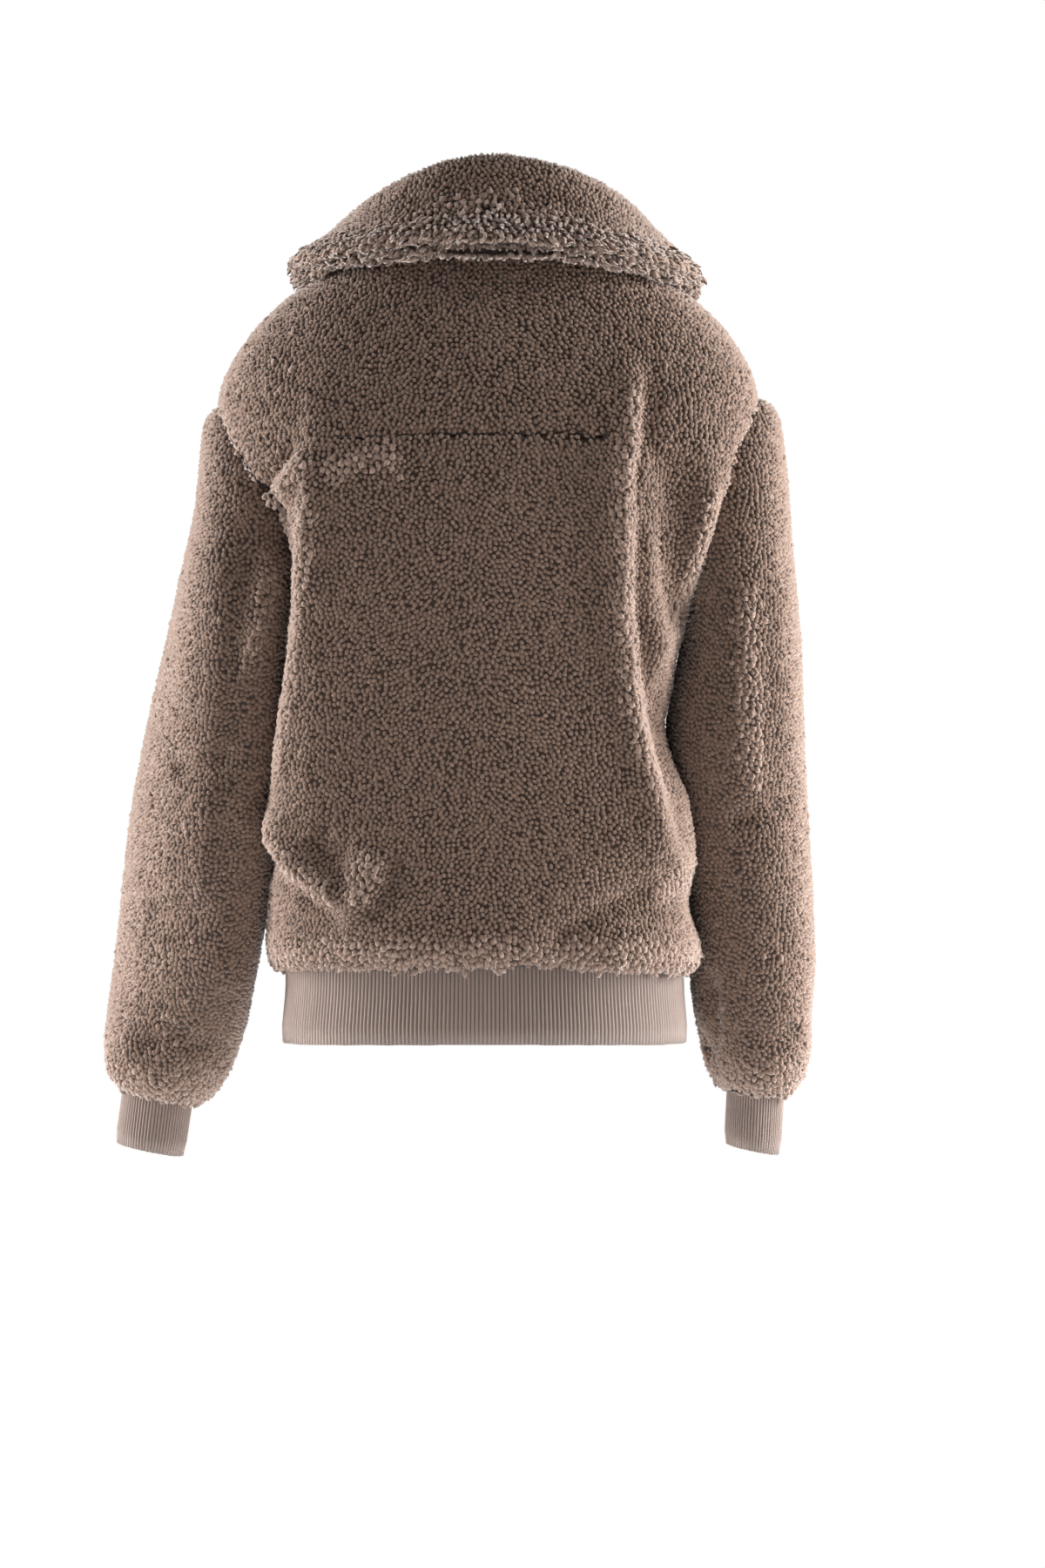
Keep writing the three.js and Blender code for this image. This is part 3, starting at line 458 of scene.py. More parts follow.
def beside_path(x, z, path):
    """Distance from a path, positive on its left hand, and how near the place is to the path's ends."""
    corners = np.array(path, float) * MM
    steps = np.diff(corners, axis=0)
    lengths = np.linalg.norm(steps, axis=1)
    before = np.concatenate([[0], np.cumsum(lengths)])
    best = np.full(x.shape, 9.0)
    side = np.ones_like(best)
    share = np.zeros_like(best)
    for corner, step, length, start in zip(corners, steps, lengths, before):
        dx, dz = x - corner[0], z - corner[1]
        along = np.clip((dx * step[0] + dz * step[1]) / length**2, 0, 1)
        apart = np.hypot(dx - along * step[0], dz - along * step[1])
        nearer = apart < best
        cross = step[0] * dz - step[1] * dx
        side = np.where(nearer, np.where(cross >= 0, 1.0, -1.0), side)
        share = np.where(nearer, (start + along * length) / before[-1], share)
        best = np.where(nearer, apart, best)
    return best * side, smoothstep(0, PATH_FADE, share) * smoothstep(0, PATH_FADE, 1 - share)


def crease_relief(points, facing, creases):
    """How far the creases lift each point, and how near it is to the crest of one."""
    lift = np.zeros(len(points))
    crest = np.zeros(len(points))
    for _, side, path, ridge, gentle, steep, hollow, beyond, spread in creases:
        apart, fade = beside_path(points[:, 0], points[:, 2], path)
        fade = fade * (facing == side)
        width = np.where(apart > 0, steep, gentle) * MM
        bell = np.exp(-((apart / width) ** 2))
        dip = np.exp(-(((apart - beyond * MM) / (spread * MM)) ** 2)) * (apart > 0)
        lift += fade * (ridge * bell - hollow * dip) * MM
        if ridge > 0 and steep < WIDEST_CREST:
            crest = np.maximum(crest, fade * np.exp(-((apart / (CREST_WIDTH * width)) ** 2)))
    return lift, crest


print("creases:", len(BODY_CREASES) + sum(len(rows) for rows in SLEEVE_CREASES.values()))

# %% [markdown]
# Two slow changes of form go with the creases, both from front to back, and the solids have neither. The
# back hangs flatter between its two long ridges, like a curtain from the shoulder blades, and falls away
# steeply beyond them: its cloth moves up to 16 mm. The left sleeve is sheared so that its back faces
# outwards: its cloth moves up to 33 mm.

# %% Hang of the back, shear of the sleeve
LEFT_EDGE, RIGHT_EDGE = (np.array(row.path, float) * MM for row in BODY_CREASES
                         if "shoulder ridge" in row.name)
FLATNESS = 0.62
HANG_LIMITS = (-5 * MM, 26 * MM)
WITHIN_RIDGE, PAST_RIDGE = 7 * MM, 4 * MM
BACK_CENTRE = 0.006
SHEAR = 0.5
back_tree = tree_of(nodes["back"], nodes["back_yoke"])


def rear_depth(x, z):
    """How far back the solids of the back reach at a place."""
    heights = [back_tree.ray_cast(Vector((a, 1, b)), Vector((0, -1, 0)))[0] for a, b in zip(x, z)]
    return np.array([hit.y if hit else np.nan for hit in heights])


middle_levels = np.linspace(-0.6, -0.05, 56)
middle_depths = rear_depth(0 * middle_levels + BACK_CENTRE, middle_levels)


def back_hang(points):
    """How far each point of the back moves backwards, so that the back is flat between its ridges."""
    x, z = points[:, 0], points[:, 2]
    left = np.interp(-z, -LEFT_EDGE[:, 1], LEFT_EDGE[:, 0])
    right = np.interp(z, RIGHT_EDGE[:, 1], RIGHT_EDGE[:, 0])
    inside = smoothstep(left + WITHIN_RIDGE, left - PAST_RIDGE, x)
    inside = inside * smoothstep(right - WITHIN_RIDGE, right + PAST_RIDGE, x)
    tall = smoothstep(-0.10, -0.20, z) * smoothstep(-0.545, -0.49, z)
    share = FLATNESS * inside * tall * smoothstep(0.01, 0.05, points[:, 1])
    moved = np.zeros(len(points))
    chosen = share > 0.001
    fall = np.interp(z[chosen], middle_levels, middle_depths) - rear_depth(x[chosen], z[chosen])
    moved[chosen] = share[chosen] * np.clip(np.nan_to_num(fall), *HANG_LIMITS)
    return moved


def sleeve_shear(points, middles):
    """How far each point of the left sleeve moves backwards."""
    tall = smoothstep(-0.24, -0.34, points[:, 2]) * smoothstep(-0.68, -0.60, points[:, 2])
    return -SHEAR * tall * (points[:, 0] - middles[:, 0])


print("the back is", (1000 * np.nanmax(middle_depths)).round(), "mm deep at most")

# %% [markdown]
# ## Cloth shells
# Each fleece panel starts as a copy of its solid. A voxel remesh gives it an even net of small faces, and
# a few rounds of smoothing take away the solid's flat facets, while the cut edges stay where they are. The
# outer face then steps in by the depth of the pile, so that the tufts end where the solid does.

# %% Remesh, smooth and crease
VOXEL = 5.8 * MM
SMOOTHING = 14
PILE_DEPTH = 2.2 * MM
WALL_REACH = {"fleece": 1.25, "collar": 1.5}
SETTLE_REACH = 8 * MM
NEARBY = 6 * MM
EDGE_SHIFT = 2.5 * MM
SMOOTHING_STEPS = (0.6, -0.38)
OUTWARD_PULL = (25, 80, 30)
SHOULDER_LEVEL = -0.15


def remeshed(node):
    copy = bpy.data.objects.new("remesh", nodes[node].data.copy())
    scene.collection.objects.link(copy)
    remesh = copy.modifiers.new("even net", "REMESH")
    remesh.mode, remesh.voxel_size = "VOXEL", VOXEL
    graph = bpy.context.evaluated_depsgraph_get()
    mesh = bpy.data.meshes.new_from_object(copy.evaluated_get(graph))
    bpy.data.objects.remove(copy)
    return mesh


def relaxed(points, edges, weights, rounds):
    """Moves points towards their neighbours' mean, and part of the way back to keep the form's size."""
    count = np.bincount(edges.ravel(), minlength=len(points))[:, None]
    for step in range(2 * rounds):
        total = np.empty_like(points)
        for axis in range(3):
            values = points[:, axis]
            total[:, axis] = np.bincount(edges[:, 0], values[edges[:, 1]], len(points))
            total[:, axis] += np.bincount(edges[:, 1], values[edges[:, 0]], len(points))
        points = points + SMOOTHING_STEPS[step % 2] * weights[:, None] * (total / count - points)
    return points


def settled(solid, points, normals, reach):
    """Points moved along their normals, forwards or back, onto a solid's surface."""
    ahead = distances(solid, points, normals, reach)
    behind = distances(solid, points, -normals, reach)
    step = np.where(ahead < 2 * behind, ahead, -behind)
    step[np.minimum(ahead, behind) >= reach] = 0
    return points + normals * step[:, None]


def torso_middle(points):
    return np.stack([0 * points[:, 0], 0 * points[:, 0], np.clip(points[:, 2], -0.5, -0.2)], axis=1)


def torso_outwards(points):
    """The way the body faces: sideways and backwards like an oval's rim, and upwards over the shoulders."""
    rise = np.maximum(0, points[:, 2] - SHOULDER_LEVEL)
    return unit(np.stack([points[:, 0], points[:, 1], rise], axis=1) * OUTWARD_PULL)


def sleeve_middle(points):
    """The middle of the sleeve at each point's height, from the sleeve's own slices."""
    levels = np.linspace(points[:, 2].min(), points[:, 2].max(), 30)
    slices = [points[abs(points[:, 2] - level) < 12 * MM] for level in levels]
    middles = np.array([(s.min(axis=0) + s.max(axis=0)) / 2 for s in slices])
    heights = np.clip(points[:, 2], points[:, 2].min() + 60 * MM, points[:, 2].max() - 60 * MM)
    return np.stack([np.interp(points[:, 2], levels, middles[:, 0]),
                     np.interp(points[:, 2], levels, middles[:, 1]), heights], axis=1)


def cloth_shell(node, middle, creases, reach, other_layer=None):
    """The panel's shell. Each of its points carries how surely it is on the furry side."""
    mesh = remeshed(node)
    points, normals, edges = arrays(mesh)
    faces = read(mesh.polygons, "vertices", 4, np.int32)
    net = points
    points = settled(tree_of(nodes[node]), net, normals, SETTLE_REACH)
    at_edge = np.linalg.norm(points - net, axis=1) > EDGE_SHIFT
    own = BVHTree.FromPolygons(points.tolist(), faces.tolist())
    thickness = distances(own, points - 0.3 * MM * normals, -normals, 0.1)
    is_broad = (thickness < reach * np.median(thickness)) & ~at_edge
    points = relaxed(points, edges, is_broad.astype(float), SMOOTHING)
    if other_layer is None:
        away = unit(points - middle(points))
        furry = smoothstep(0.05, 0.3, (away * normals).sum(axis=1))
        inset = (furry * PILE_DEPTH)[:, None] * away
    else:
        furry = smoothstep(1.2 * MM, 2.5 * MM, distances(other_layer, points, normals, NEARBY))
        inset = (furry * PILE_DEPTH * np.where(is_broad, 1, 0.3))[:, None] * normals
    behind = (is_broad & (furry < 0.5)) * thickness
    faced = points - normals * behind[:, None]
    facing = np.where(faced[:, 1] > middle(faced)[:, 1], BACK, FRONT)
    lift, _ = crease_relief(faced, facing, creases)
    heading = torso_outwards(faced) if middle is torso_middle else unit(faced - middle(faced))
    points = points + heading * lift[:, None] - inset
    if node in ("back", "back_yoke"):
        points[:, 1] += back_hang(faced)
    if node == "sleeve_left":
        points[:, 1] += sleeve_shear(faced, middle(faced))
    # Outer faces take the painted root shade, inner faces the jersey.
    inside = (furry[faces].mean(axis=1) < 0.5).astype(int)
    return mesh_object(node + "_cloth", points, faces, {"furry": furry}, (painted_root_shade, jersey), inside)


# %% [markdown]
# ## Pile
# A Geometry Nodes scatter picks places on a shell, near neighbours are pushed apart until the places are
# even, and each gets one tuft. There are three kinds. On flat cloth the pile is a crackle of low lumps,
# six-sided with a short ridge on top. Where the cloth bends sharply it opens into bigger curls, which
# droop along the nap. The collar's cut edges carry longer locks. A tuft is a few faces in an array,
# copied to every place at once and turned so that it leans along the nap.

# %% Even places on a shell
DENSEST = 5
NEIGHBOURS = 7
ROOM_BETWEEN = 1.08
PUSH = 0.4


def scatter_places(obj, spacing, seed):
    """Places on an object, never closer than a spacing: positions, normals and how furry it is there."""
    tree = bpy.data.node_groups.new("even places", "GeometryNodeTree")
    tree.interface.new_socket("Geometry", in_out="INPUT", socket_type="NodeSocketGeometry")
    tree.interface.new_socket("Geometry", in_out="OUTPUT", socket_type="NodeSocketGeometry")
    new, link = tree.nodes.new, tree.links.new
    start = new("NodeGroupInput")
    end = new("NodeGroupOutput")
    spread = new("GeometryNodeDistributePointsOnFaces")
    spread.distribute_method = "POISSON"
    spread.inputs["Distance Min"].default_value = spacing
    spread.inputs["Density Max"].default_value = DENSEST / spacing**2
    spread.inputs["Seed"].default_value = seed
    keep = new("GeometryNodeStoreNamedAttribute")
    keep.data_type = "FLOAT_VECTOR"
    keep.inputs["Name"].default_value = "upright"
    to_mesh = new("GeometryNodePointsToVertices")
    link(start.outputs[0], spread.inputs["Mesh"])
    link(spread.outputs["Points"], keep.inputs["Geometry"])
    link(spread.outputs["Normal"], keep.inputs["Value"])
    link(keep.outputs[0], to_mesh.inputs[0])
    link(to_mesh.outputs[0], end.inputs[0])
    modifier = obj.modifiers.new("even places", "NODES")
    modifier.node_group = tree
    graph = bpy.context.evaluated_depsgraph_get()
    cloud = bpy.data.meshes.new_from_object(obj.evaluated_get(graph))
    obj.modifiers.remove(modifier)
    places, upright = (read(cloud.attributes[key].data, "vector", 3) for key in ("position", "upright"))
    furry = read(cloud.attributes["furry"].data, "value", 1)[:, 0]
    bpy.data.meshes.remove(cloud)
    return places, unit(upright), furry


def evened(places, upright, spacing, rounds=3):
    """Pushes near neighbours apart along the cloth, which evens out a random scatter."""
    for _ in range(rounds):
        tree = KDTree(len(places))
        for index, place in enumerate(places):
            tree.insert(place, index)
        tree.balance()
        near = np.array([[other for _, other, _ in tree.find_n(place, NEIGHBOURS)] for place in places])
        apart = places[:, None] - places[near]
        gap = np.linalg.norm(apart, axis=-1, keepdims=True)
        push = (apart / np.maximum(gap, 1e-9) * np.maximum(0, ROOM_BETWEEN * spacing - gap)).sum(axis=1)
        places = places + PUSH * (push - upright * (push * upright).sum(axis=1, keepdims=True))
    return places


# %% Tufts
class Tuft:
    """A shape in rings, from its root to a closing tip, with sizes in units of its width and height.
    A tip is a rise, a lean and half the length of the short ridge it ends in."""

    def __init__(self, sides, rings, tip):
        self.sides = sides
        self.turns = np.tile(2 * np.pi * np.arange(sides) / sides, len(rings))
        self.rise, self.lean, self.around = (np.repeat([ring[k] for ring in rings], sides) for k in range(3))
        faces = []
        for ring in range(len(rings) - 1):
            for side in range(sides):
                a, b = ring * sides + side, ring * sides + (side + 1) % sides
                faces += [(a, b, b + sides), (a, b + sides, a + sides)]
        self.turns = np.append(self.turns, (np.pi / 2, -np.pi / 2))
        self.around = np.append(self.around, (tip[2], tip[2]))
        self.rise = np.append(self.rise, (tip[0], tip[0]))
        self.lean = np.append(self.lean, (tip[1], tip[1]))
        last = (len(rings) - 1) * sides
        ahead, behind = last + sides, last + sides + 1
        for side in range(sides):
            nearer = ahead if side < sides / 2 else behind
            faces.append((last + side, last + (side + 1) % sides, nearer))
        faces += [(last + math.ceil(sides / 2), behind, ahead), (last, ahead, behind)]
        self.faces = np.array(faces)
        self.height = self.rise / self.rise.max()


LUMP = Tuft(6, [(0.1, -0.05, 1.0)], (1.0, 0.05, 0.4))
CURL = Tuft(5, [(-0.2, -0.1, 0.9), (0.5, 0.12, 0.85)], (0.95, 0.38, 0.2))
LOCK = Tuft(4, [(-0.1, 0, 0.7), (0.55, 0.25, 0.72), (0.95, 0.9, 0.55)], (0.85, 1.7, 0.1))


def tufts(shape, places, upright, nap, width, height, turn=0.6):
    """One tuft at each place. Gives points, faces and, for each point, its height and its tuft's tone."""
    count = len(places)
    nap = unit(nap - upright * (nap * upright).sum(axis=1, keepdims=True))
    across = np.cross(nap, upright)
    swing = rng.uniform(-turn, turn, count)[:, None]
    nap, across = (np.cos(swing) * nap + np.sin(swing) * across,
                   np.cos(swing) * across - np.sin(swing) * nap)
    lean = rng.normal(0, 0.16, (count, 2))
    upright = unit(upright + lean[:, :1] * across + lean[:, 1:] * nap)
    width = (width * rng.uniform(0.82, 1.18, count))[:, None]
    height = (height * rng.uniform(0.75, 1.25, count))[:, None]
    stretch = rng.uniform(0.9, 1.4, count)[:, None]
    start = rng.uniform(0, 2 * np.pi / shape.sides, count)[:, None]
    side = shape.around * np.cos(shape.turns + start)
    ahead = shape.around * np.sin(shape.turns + start)
    rough = 1 + rng.uniform(-0.16, 0.16, (count, len(shape.rise)))
    points = places[:, None] + across[:, None] * (side * rough * width / np.sqrt(stretch))[..., None]
    points = points + nap[:, None] * ((ahead * rough * stretch + shape.lean * 1.15) * width)[..., None]
    points = points + upright[:, None] * (shape.rise * height)[..., None]
    faces = shape.faces[None] + (np.arange(count) * len(shape.rise))[:, None, None]
    tone = np.repeat(rng.uniform(0, 1, count), len(shape.rise))
    return points.reshape(-1, 3), faces.reshape(-1, 3), np.tile(shape.height, count), tone


def joined(parts):
    """Joins several sets of tufts into one set of arrays."""
    points = np.concatenate([part[0] for part in parts])
    starts = np.cumsum([0] + [len(part[0]) for part in parts[:-1]])
    faces = np.concatenate([part[1] + start for part, start in zip(parts, starts)])
    height, tone = (np.concatenate([part[k] for part in parts]) for k in (2, 3))
    return points, faces, height, tone


# %% [markdown]
# How the pile opens is worked out from place to place. Curls stand along the crests of the creases, in the
# roll over the hem band and at the wrists. The nap hangs down the body and along the sleeves, with slow
# swirls where hands have stroked it.

# %% Where the pile opens, and its nap
# shape; spacing, width and height in mm; lowest and highest openness; how furry the cloth must be
TUFT_KINDS = [
    (LUMP, 3.9, 2.3, 2.7, -9, 9, 0.3),
    (CURL, 6.0, 3.1, 3.7, 0.45, 1.3, 0.4),
    (LOCK, 4.8, 3.2, 5.0, 1.3, 9, 0.05),
]
SCATTER_SHARE = 0.78
OPENNESS_SPREAD = 0.13
OUTWARD_SHARE = 0.8
TALLEST_ROOM = 3


def swirl(points, wavelength):
    """A slow, smooth unevenness between -1 and 1."""
    x, y, z = (points / wavelength * 2 * np.pi).T
    across = np.sin(x + 1.7 * np.sin(0.7 * z))
    up = np.sin(z * 0.9 + 1.3 * np.sin(y + 0.6 * x))
    return (across + up + np.sin(1.1 * y - 0.8 * x)) / 3


def hanging_nap(points, upright):
    nap = np.tile([0.0, 0.0, -1.0], (len(points), 1))
    nap[:, 0] += 0.55 * swirl(points, 0.19) + 0.25 * np.sign(points[:, 0])
    return nap + 0.2 * upright


def pile(shell, name, openness, nap, seed, finish, neighbours):
    """The pile of one panel. openness runs from 0, closed, to 1, open into curls, and past 1 into locks."""
    parts = []
    for kind, (shape, spacing, width, height, lowest, highest, least) in enumerate(TUFT_KINDS):
        places, upright, furry = scatter_places(shell, SCATTER_SHARE * spacing * MM, seed + kind)
        places = evened(places, upright, spacing * MM)
        open_here = openness(places) + OPENNESS_SPREAD * rng.normal(size=len(places))
        room = PILE_DEPTH + distances(neighbours, places + PILE_DEPTH * upright, upright, NEARBY)
        keep = (furry > least) & (open_here >= lowest) & (open_here < highest)
        keep = keep & (room > 0.9 * min(height, TALLEST_ROOM) * MM)
        places, upright = places[keep], upright[keep]
        if nap is hanging_nap and "sleeve" not in name:
            upright = unit(upright + OUTWARD_SHARE * torso_outwards(places))
        *form, tone = tufts(shape, places, upright, nap(places, upright), width * MM, height * MM)
        # The tone is random from tuft to tuft, and it rises where the pile opens, which lightens the tips.
        # This is a painted highlight on the crests, the body's sides, the outer sleeves, the hem roll, the
        # wrists and the collar's edge.
        opened = np.repeat(np.clip(open_here[keep], 0, 1), len(shape.rise))
        parts.append((*form, tone * 0.3 + 0.6 * opened))
    points, faces, height, tone = joined(parts)
    obj = mesh_object(name, points, faces, {"height": height, "tone": tone}, (finish,))
    print(f"{name}: {triangles(obj)} triangles")
    return obj


# %% [markdown]
# ## Body, sleeves and collar
# Every panel is made by the same two steps, shell and pile. What differs is how it opens: the body above
# the hem band and along its ridges, the sleeves at the wrists and down their outer sides, the collar
# towards its cut edge, where both layers end in long locks.

# %% Panels of the body and sleeves
fleece_nodes = ["back", "back_yoke", "front_left", "front_right", "sleeve_left", "sleeve_right",
                "upper_collar", "under_collar"]
LOWEST_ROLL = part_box("back")[0][2]
WRISTS = {name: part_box(name)[0][2] for name in SLEEVE_CREASES}


def neighbours_of(name):
    return tree_of(*(nodes[other] for other in fleece_nodes if other != name))


def near_crests(points, middle_y, creases):
    facing = np.where(points[:, 1] > middle_y, BACK, FRONT)
    return crease_relief(points, facing, creases)[1]


def body_openness(points):
    hem = smoothstep(LOWEST_ROLL + 46 * MM, LOWEST_ROLL + 16 * MM, points[:, 2])
    corner = 0.25 * smoothstep(0.13, 0.17, abs(points[:, 0]))
    crests = near_crests(points, 0, BODY_CREASES)
    return np.maximum.reduce([crests, 1.1 * hem, corner]) + 0.12 * swirl(points, 0.06)


def sleeve_openness(name):
    wrist = WRISTS[name]

    def openness(points):
        end = smoothstep(wrist + 60 * MM, wrist + 14 * MM, points[:, 2])
        outer = 0.3 * smoothstep(0.2, 0.27, abs(points[:, 0]))
        crests = near_crests(points, -20 * MM, SLEEVE_CREASES[name])
        return np.maximum.reduce([crests, 1.05 * end, outer]) + 0.16 * swirl(points, 0.05)
    return openness


made = {}
for seed, name in enumerate(fleece_nodes[:6]):
    if name in SLEEVE_CREASES:
        shell = cloth_shell(name, sleeve_middle, SLEEVE_CREASES[name], WALL_REACH["fleece"])
        openness = sleeve_openness(name)
    else:
        shell = cloth_shell(name, torso_middle, BODY_CREASES, WALL_REACH["fleece"])
        openness = body_openness
    fur = pile(shell, name + "_pile", openness, hanging_nap, 10 * seed, fleece_pile, neighbours_of(name))
    made[name] = shell, fur
print("shells:", sum(triangles(shell) for shell, _ in made.values()))

# %% Collar
SECTORS = 48


def collar_middle(points):
    return np.zeros_like(points)


def collar_flow(points, upright):
    """The nap runs from the neck over the roll and down to the edge."""
    outwards = unit(points * (1, 1, 0))
    return outwards + (0, 0, -0.7) + 0.35 * swirl(points, 0.11)[:, None] * np.cross(outwards, (0, 0, 1))


def collar_openness(shell_points):
    """Opens towards the cut edge, which is the outermost part of the fall at each angle round the neck."""
    turn = np.arctan2(shell_points[:, 0], shell_points[:, 1])
    reach = np.hypot(shell_points[:, 0], shell_points[:, 1])
    bins = np.linspace(-np.pi, np.pi, SECTORS + 1)
    index = np.clip(np.digitize(turn, bins) - 1, 0, SECTORS - 1)
    edge = np.array([reach[index == k].max() if (index == k).any() else reach.max() for k in range(SECTORS)])
    middles = (bins[1:] + bins[:-1]) / 2

    def openness(points):
        here = np.arctan2(points[:, 0], points[:, 1])
        from_edge = np.interp(here, middles, edge) - np.hypot(points[:, 0], points[:, 1])
        return 1.7 * smoothstep(26 * MM, 9 * MM, from_edge) + 0.12 * swirl(points, 0.05)
    return openness


for seed, (name, other) in enumerate((("upper_collar", "under_collar"), ("under_collar", "upper_collar"))):
    shell = cloth_shell(name, collar_middle, [], WALL_REACH["collar"], tree_of(nodes[other]))
    openness = collar_openness(arrays(shell.data)[0])
    finish = fleece_pile if name == "upper_collar" else facing_pile
    fur = pile(shell, name + "_pile", openness, collar_flow, 80 + 10 * seed, finish, neighbours_of(name))
    made[name] = shell, fur

# %% [markdown]
# ## Rib knit
# The hem band and cuffs are knitted in ribs, which stand up as rounded cords with narrow grooves between.
# The solids have each rib as two flat faces. Here rays find a band's inner face, and a new wall is raised
# over it whose ribs are round and whose lower edge is turned like a folded band.

# %% Rib finish
RIB_SHEEN = (0.95, 0.88, 0.84, 1)


def rib_finish(name, colour):
    finish = Finish(name, roughness=0.8, sheen_weight=0.35, sheen_roughness=0.4, sheen_tint=RIB_SHEEN,
                    specular_ior_level=0.3)
    depth = finish.carried("height")
    courses = finish.stripes("Z", 330, 2.5, Detail=1)
    fuzz = finish.noise(1300, detail=3, roughness=0.7)
    wear = finish.noise(14, detail=2)
    # The grooves between the ribs are painted darker as painted shade, and the crests lighter as a painted
    # highlight. Noise adds worn patches and the knitted courses.
    body = finish.mix((depth * 1.3).clamped(), scaled(colour, 0.42), colour)
    lit = (depth * 0.5 + wear * 0.5 + courses * 0.18 - 0.42).clamped()
    finish.set(base_color=finish.mix(lit, body, scaled(colour, 1.18)))
    finish.set(normal=finish.bump(courses * 0.6 + fuzz * 0.5, 0.22 * MM))
    return finish.material


rib_knit = rib_finish("rib_knit", linear(150, 131, 122))

# %% Ribbed walls
POINTS_PER_RIB = 6
RIB_ROWS = 7
RIB_KNIT = 2.6 * MM
RIB_RELIEF = 0.9 * MM
SKIN = 0.3 * MM
BAND_END = 6.7 * MM
FOLD_SHARE = 0.05
COARSE_TURNS = 97
SEARCH_STEP, END_MARGIN = 0.002, 0.006


def ribbed_band(node, ribs, closed=True):
    """A ribbed wall round a band's solid. An open band leaves off where the solid does, at the zip."""
    low, high = (np.array(corner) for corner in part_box(node))
    corners = np.array([v.co[:] for v in nodes[node].data.vertices])
    tree = tree_of(nodes[node])
    top = corners[corners[:, 2] > high[2] - 0.25 * (high[2] - low[2])].mean(axis=0)
    bottom = corners[corners[:, 2] < low[2] + 0.25 * (high[2] - low[2])].mean(axis=0)
    count = ribs * POINTS_PER_RIB

    def inner_point(angle, height):
        """Where a ray from the middle of the band meets its inner face, and the ray's heading."""
        share = (height - low[2]) / (high[2] - low[2])
        middle = bottom + (top - bottom) * share
        heading = Vector((math.sin(angle), math.cos(angle), 0))
        return tree.ray_cast(Vector((middle[0], middle[1], height)), heading, 0.4)[0], heading

    def edges_at(angle):
        """Lowest and highest height at which the band's inner face is met at an angle."""
        met = [level for level in np.arange(low[2], high[2], 0.5 * MM) if inner_point(angle, level)[0]]
        return met[0], met[-1]

    turn_limits = [-math.pi, math.pi]
    if not closed:
        level = (low[2] + high[2]) / 2
        for end, inwards in ((0, 1), (1, -1)):
            while inner_point(turn_limits[end], level)[0] is None and abs(turn_limits[end]) > 2.5:
                turn_limits[end] += SEARCH_STEP * inwards
            turn_limits[end] += END_MARGIN * inwards
    coarse = np.linspace(*turn_limits, COARSE_TURNS)
    rims = np.array([edges_at(angle) for angle in coarse])
    halfway = np.array([inner_point(angle, rim.mean())[0][:] for angle, rim in zip(coarse, rims)])
    travel = np.concatenate([[0], np.cumsum(np.linalg.norm(np.diff(halfway, axis=0), axis=1))])
    columns = count if closed else count + 1
    angles = np.interp(np.linspace(0, travel[-1], count + 1)[:columns], travel, coarse)
    rows = np.linspace(0, 1, RIB_ROWS) ** 0.9
    inner, outer, height = [], [], []
    turned = np.minimum(1, np.sqrt(np.clip(rows / FOLD_SHARE, 0, 1)) * 0.75 + 0.25)
    reach_of_ends = {} if closed else {0: -BAND_END, columns - 1: BAND_END}
    for row, (share, fullness) in enumerate(zip(rows, turned)):
        for column, angle in enumerate(angles):
            foot, head = (np.interp(angle, coarse, rims[:, end]) for end in (0, 1))
            level = min(max(foot + share * (head - foot), foot + SKIN), head - SKIN)
            hit, heading = inner_point(angle, level)
            rise = math.sqrt(0.5 - 0.5 * math.cos(2 * math.pi * column / POINTS_PER_RIB))
            point = hit + SKIN * heading
            point.x = reach_of_ends.get(column, point.x)
            inner.append(point[:])
            wall = (RIB_KNIT - SKIN - RIB_RELIEF * (1 - rise)) * fullness
            outer.append((point + heading * wall)[:])
            height.append(rise)
    points = np.array(inner + outer)
    start = len(inner)

    def vertex(layer, row, column):
        return layer * start + row * columns + column % columns

    spans = columns if closed else columns - 1
    faces = []
    for column in range(spans):
        for row in range(RIB_ROWS - 1):
            a, b = vertex(1, row, column), vertex(1, row, column + 1)
            c, d = vertex(1, row + 1, column + 1), vertex(1, row + 1, column)
            faces.append((a, d, c, b))
            e, f, g, h = (i - start for i in (a, b, c, d))
            faces.append((e, f, g, h))
        for row, flip in ((0, False), (RIB_ROWS - 1, True)):
            a, b = vertex(0, row, column), vertex(0, row, column + 1)
            c, d = vertex(1, row, column + 1), vertex(1, row, column)
            faces.append((c, d, a, b) if flip else (b, a, d, c))
    if not closed:
        for column, flip in ((0, False), (columns - 1, True)):
            for row in range(RIB_ROWS - 1):
                a, b = vertex(0, row, column), vertex(1, row, column)
                c, d = vertex(1, row + 1, column), vertex(0, row + 1, column)
                faces.append((a, b, c, d) if flip else (d, c, b, a))
    height = np.array([0.55] * start + height)
    obj = mesh_object(node + "_knit", points, np.array(faces), {"height": height}, (rib_knit,))
    print(f"{obj.name}: {triangles(obj)} triangles, round {travel[-1] * 1000:.0f} mm")
    return obj


made["hem_band"] = (ribbed_band("hem_band", 280, closed=False),)
for cuff in ("cuff_left", "cuff_right"):
    made[cuff] = (ribbed_band(cuff, 68),)

# %% [markdown]
# ## Zip
# The zip lies in the groove between the fronts. Its tapes are a close twill, and its moulded teeth take
# turns from the left and the right. The solid's raised strip becomes a row of single teeth here. The
# slider and the pull tab keep their solids, in satin metal with faint scratches.

# %% Zip finishes
def tape_finish():
    finish = Finish("zip_tape", roughness=0.85, sheen_weight=0.15, specular_ior_level=0.3)
    twill = finish.stripes("DIAGONAL", 420, 0.6)
    weave = (twill * 0.6 + finish.noise(900) * 0.4).clamped()
    finish.set(base_color=finish.mix(weave, linear(70, 55, 47), linear(112, 93, 82)))
    finish.set(normal=finish.bump(twill, 0.2 * MM))
    return finish.material


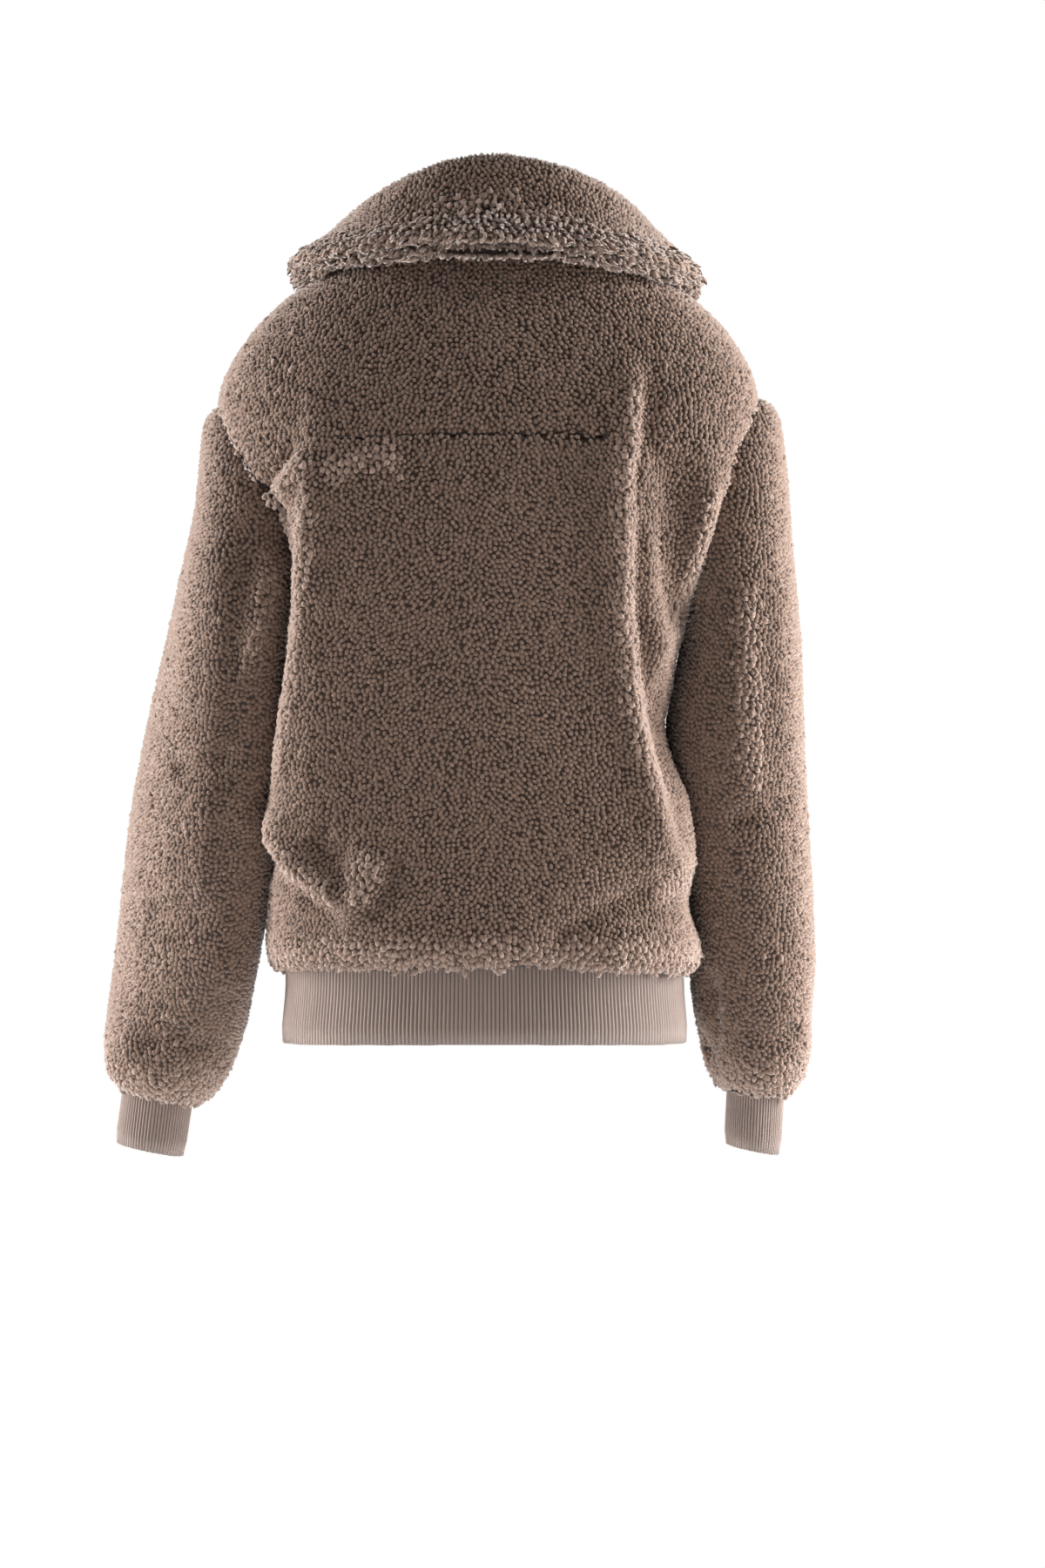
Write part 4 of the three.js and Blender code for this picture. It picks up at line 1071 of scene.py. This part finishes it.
def metal_finish(name, colour, roughness):
    finish = Finish(name, metallic=1.0)
    grain = finish.noise(240, detail=4, roughness=0.65)
    haze = finish.noise(60)
    finish.set(base_color=finish.mix(grain, colour, scaled(colour, 0.7)))
    finish.set(roughness=roughness + haze * 0.16 - grain * 0.08)
    finish.set(normal=finish.bump(grain, 0.04 * MM))
    return finish.material


tape = tape_finish()
slider_metal = metal_finish("slider_metal", linear(176, 170, 160), 0.32)
tooth_metal = metal_finish("tooth_metal", linear(150, 141, 128), 0.36)

# %% Teeth
PITCH = 2.6  # mm, as are the corners of a tooth: across, up and out
TOOTH = np.array([(0, -0.62, 0), (2.55, -0.5, 0), (2.55, 0.5, 0), (0, 0.62, 0),
                  (0.25, -0.42, 1), (2.2, -0.3, 1), (2.2, 0.3, 1), (0.25, 0.42, 1)])
TOOTH_FACES = np.array([(4, 5, 6, 7), (0, 1, 5, 4), (1, 2, 6, 5), (2, 3, 7, 6), (3, 0, 4, 7), (3, 2, 1, 0)])


def zip_teeth(name, side):
    node = f"zip_tape_{name}"
    low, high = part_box(node)
    tree = tree_of(nodes[node])
    points, faces = [], []
    offset = 0.25 if side > 0 else 0.75
    places = np.arange(low[2] + (2 + offset * PITCH) * MM, high[2] - 1.5 * MM, PITCH * MM)
    for index, level in enumerate(places):
        face = tree.ray_cast(Vector((side * 1.6 * MM, -0.2, level)), Vector((0, 1, 0)))[0].y
        for across, up, out in TOOTH:
            points.append((side * (-0.55 + across) * MM, face + (0.35 - out) * MM, level + up * MM))
        faces += (TOOTH_FACES[:, :: 1 if side < 0 else -1] + 8 * index).tolist()
    obj = mesh_object(f"zip_teeth_{name}", np.array(points), np.array(faces), None, (tooth_metal,))
    obj.data.shade_flat()
    print(f"{obj.name}: {len(places)} teeth")
    return obj


teeth = [zip_teeth("left", 1), zip_teeth("right", -1)]
for name, material in (("zip_tape_left", tape), ("zip_tape_right", tape),
                       ("zip_slider", slider_metal), ("zip_pull", slider_metal)):
    nodes[name].data.materials.clear()
    nodes[name].data.materials.append(material)

# %% [markdown]
# ## Floor
# A plain pale disc far below the hem catches a soft shadow. It is part of the stage, not of the jacket.

# %% Floor
FLOOR_LEVEL = -1.45
FLOOR_RADIUS = 1.15
SPOKES = 96

turns = np.linspace(0, 2 * np.pi, SPOKES + 1)[:-1]
rim = np.stack([FLOOR_RADIUS * np.cos(turns), FLOOR_RADIUS * np.sin(turns), 0 * turns + FLOOR_LEVEL], axis=1)
disc = np.concatenate([[(0, 0, FLOOR_LEVEL)], rim])
spokes = np.array([(0, 1 + k, 1 + (k + 1) % SPOKES) for k in range(SPOKES)])
paper = Finish("pale_paper", roughness=0.9, specular_ior_level=0.1)
paper.set(base_color=paper.mix(paper.noise(3), (0.93, 0.93, 0.93, 1), (0.96, 0.96, 0.96, 1)))
floor = mesh_object("floor", disc, spokes, None, (paper.material,))

# %% [markdown]
# ## Attaching the pieces
# Each piece is told which body it moves with, and the solids that the made pieces stand for are hidden.
# No pattern is known: the flat sizes are estimates, and their areas were fitted to the shells made
# above, so that they agree with the shells shows nothing about the cut.

for name, objects in made.items():
    for piece in objects:
        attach(piece, GARMENT)
        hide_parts(name)
for piece in teeth:
    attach(piece, GARMENT)

# %% Size
pieces = [obj for group in made.values() for obj in group] + teeth
print("triangles added:", sum(triangles(obj) for obj in pieces))
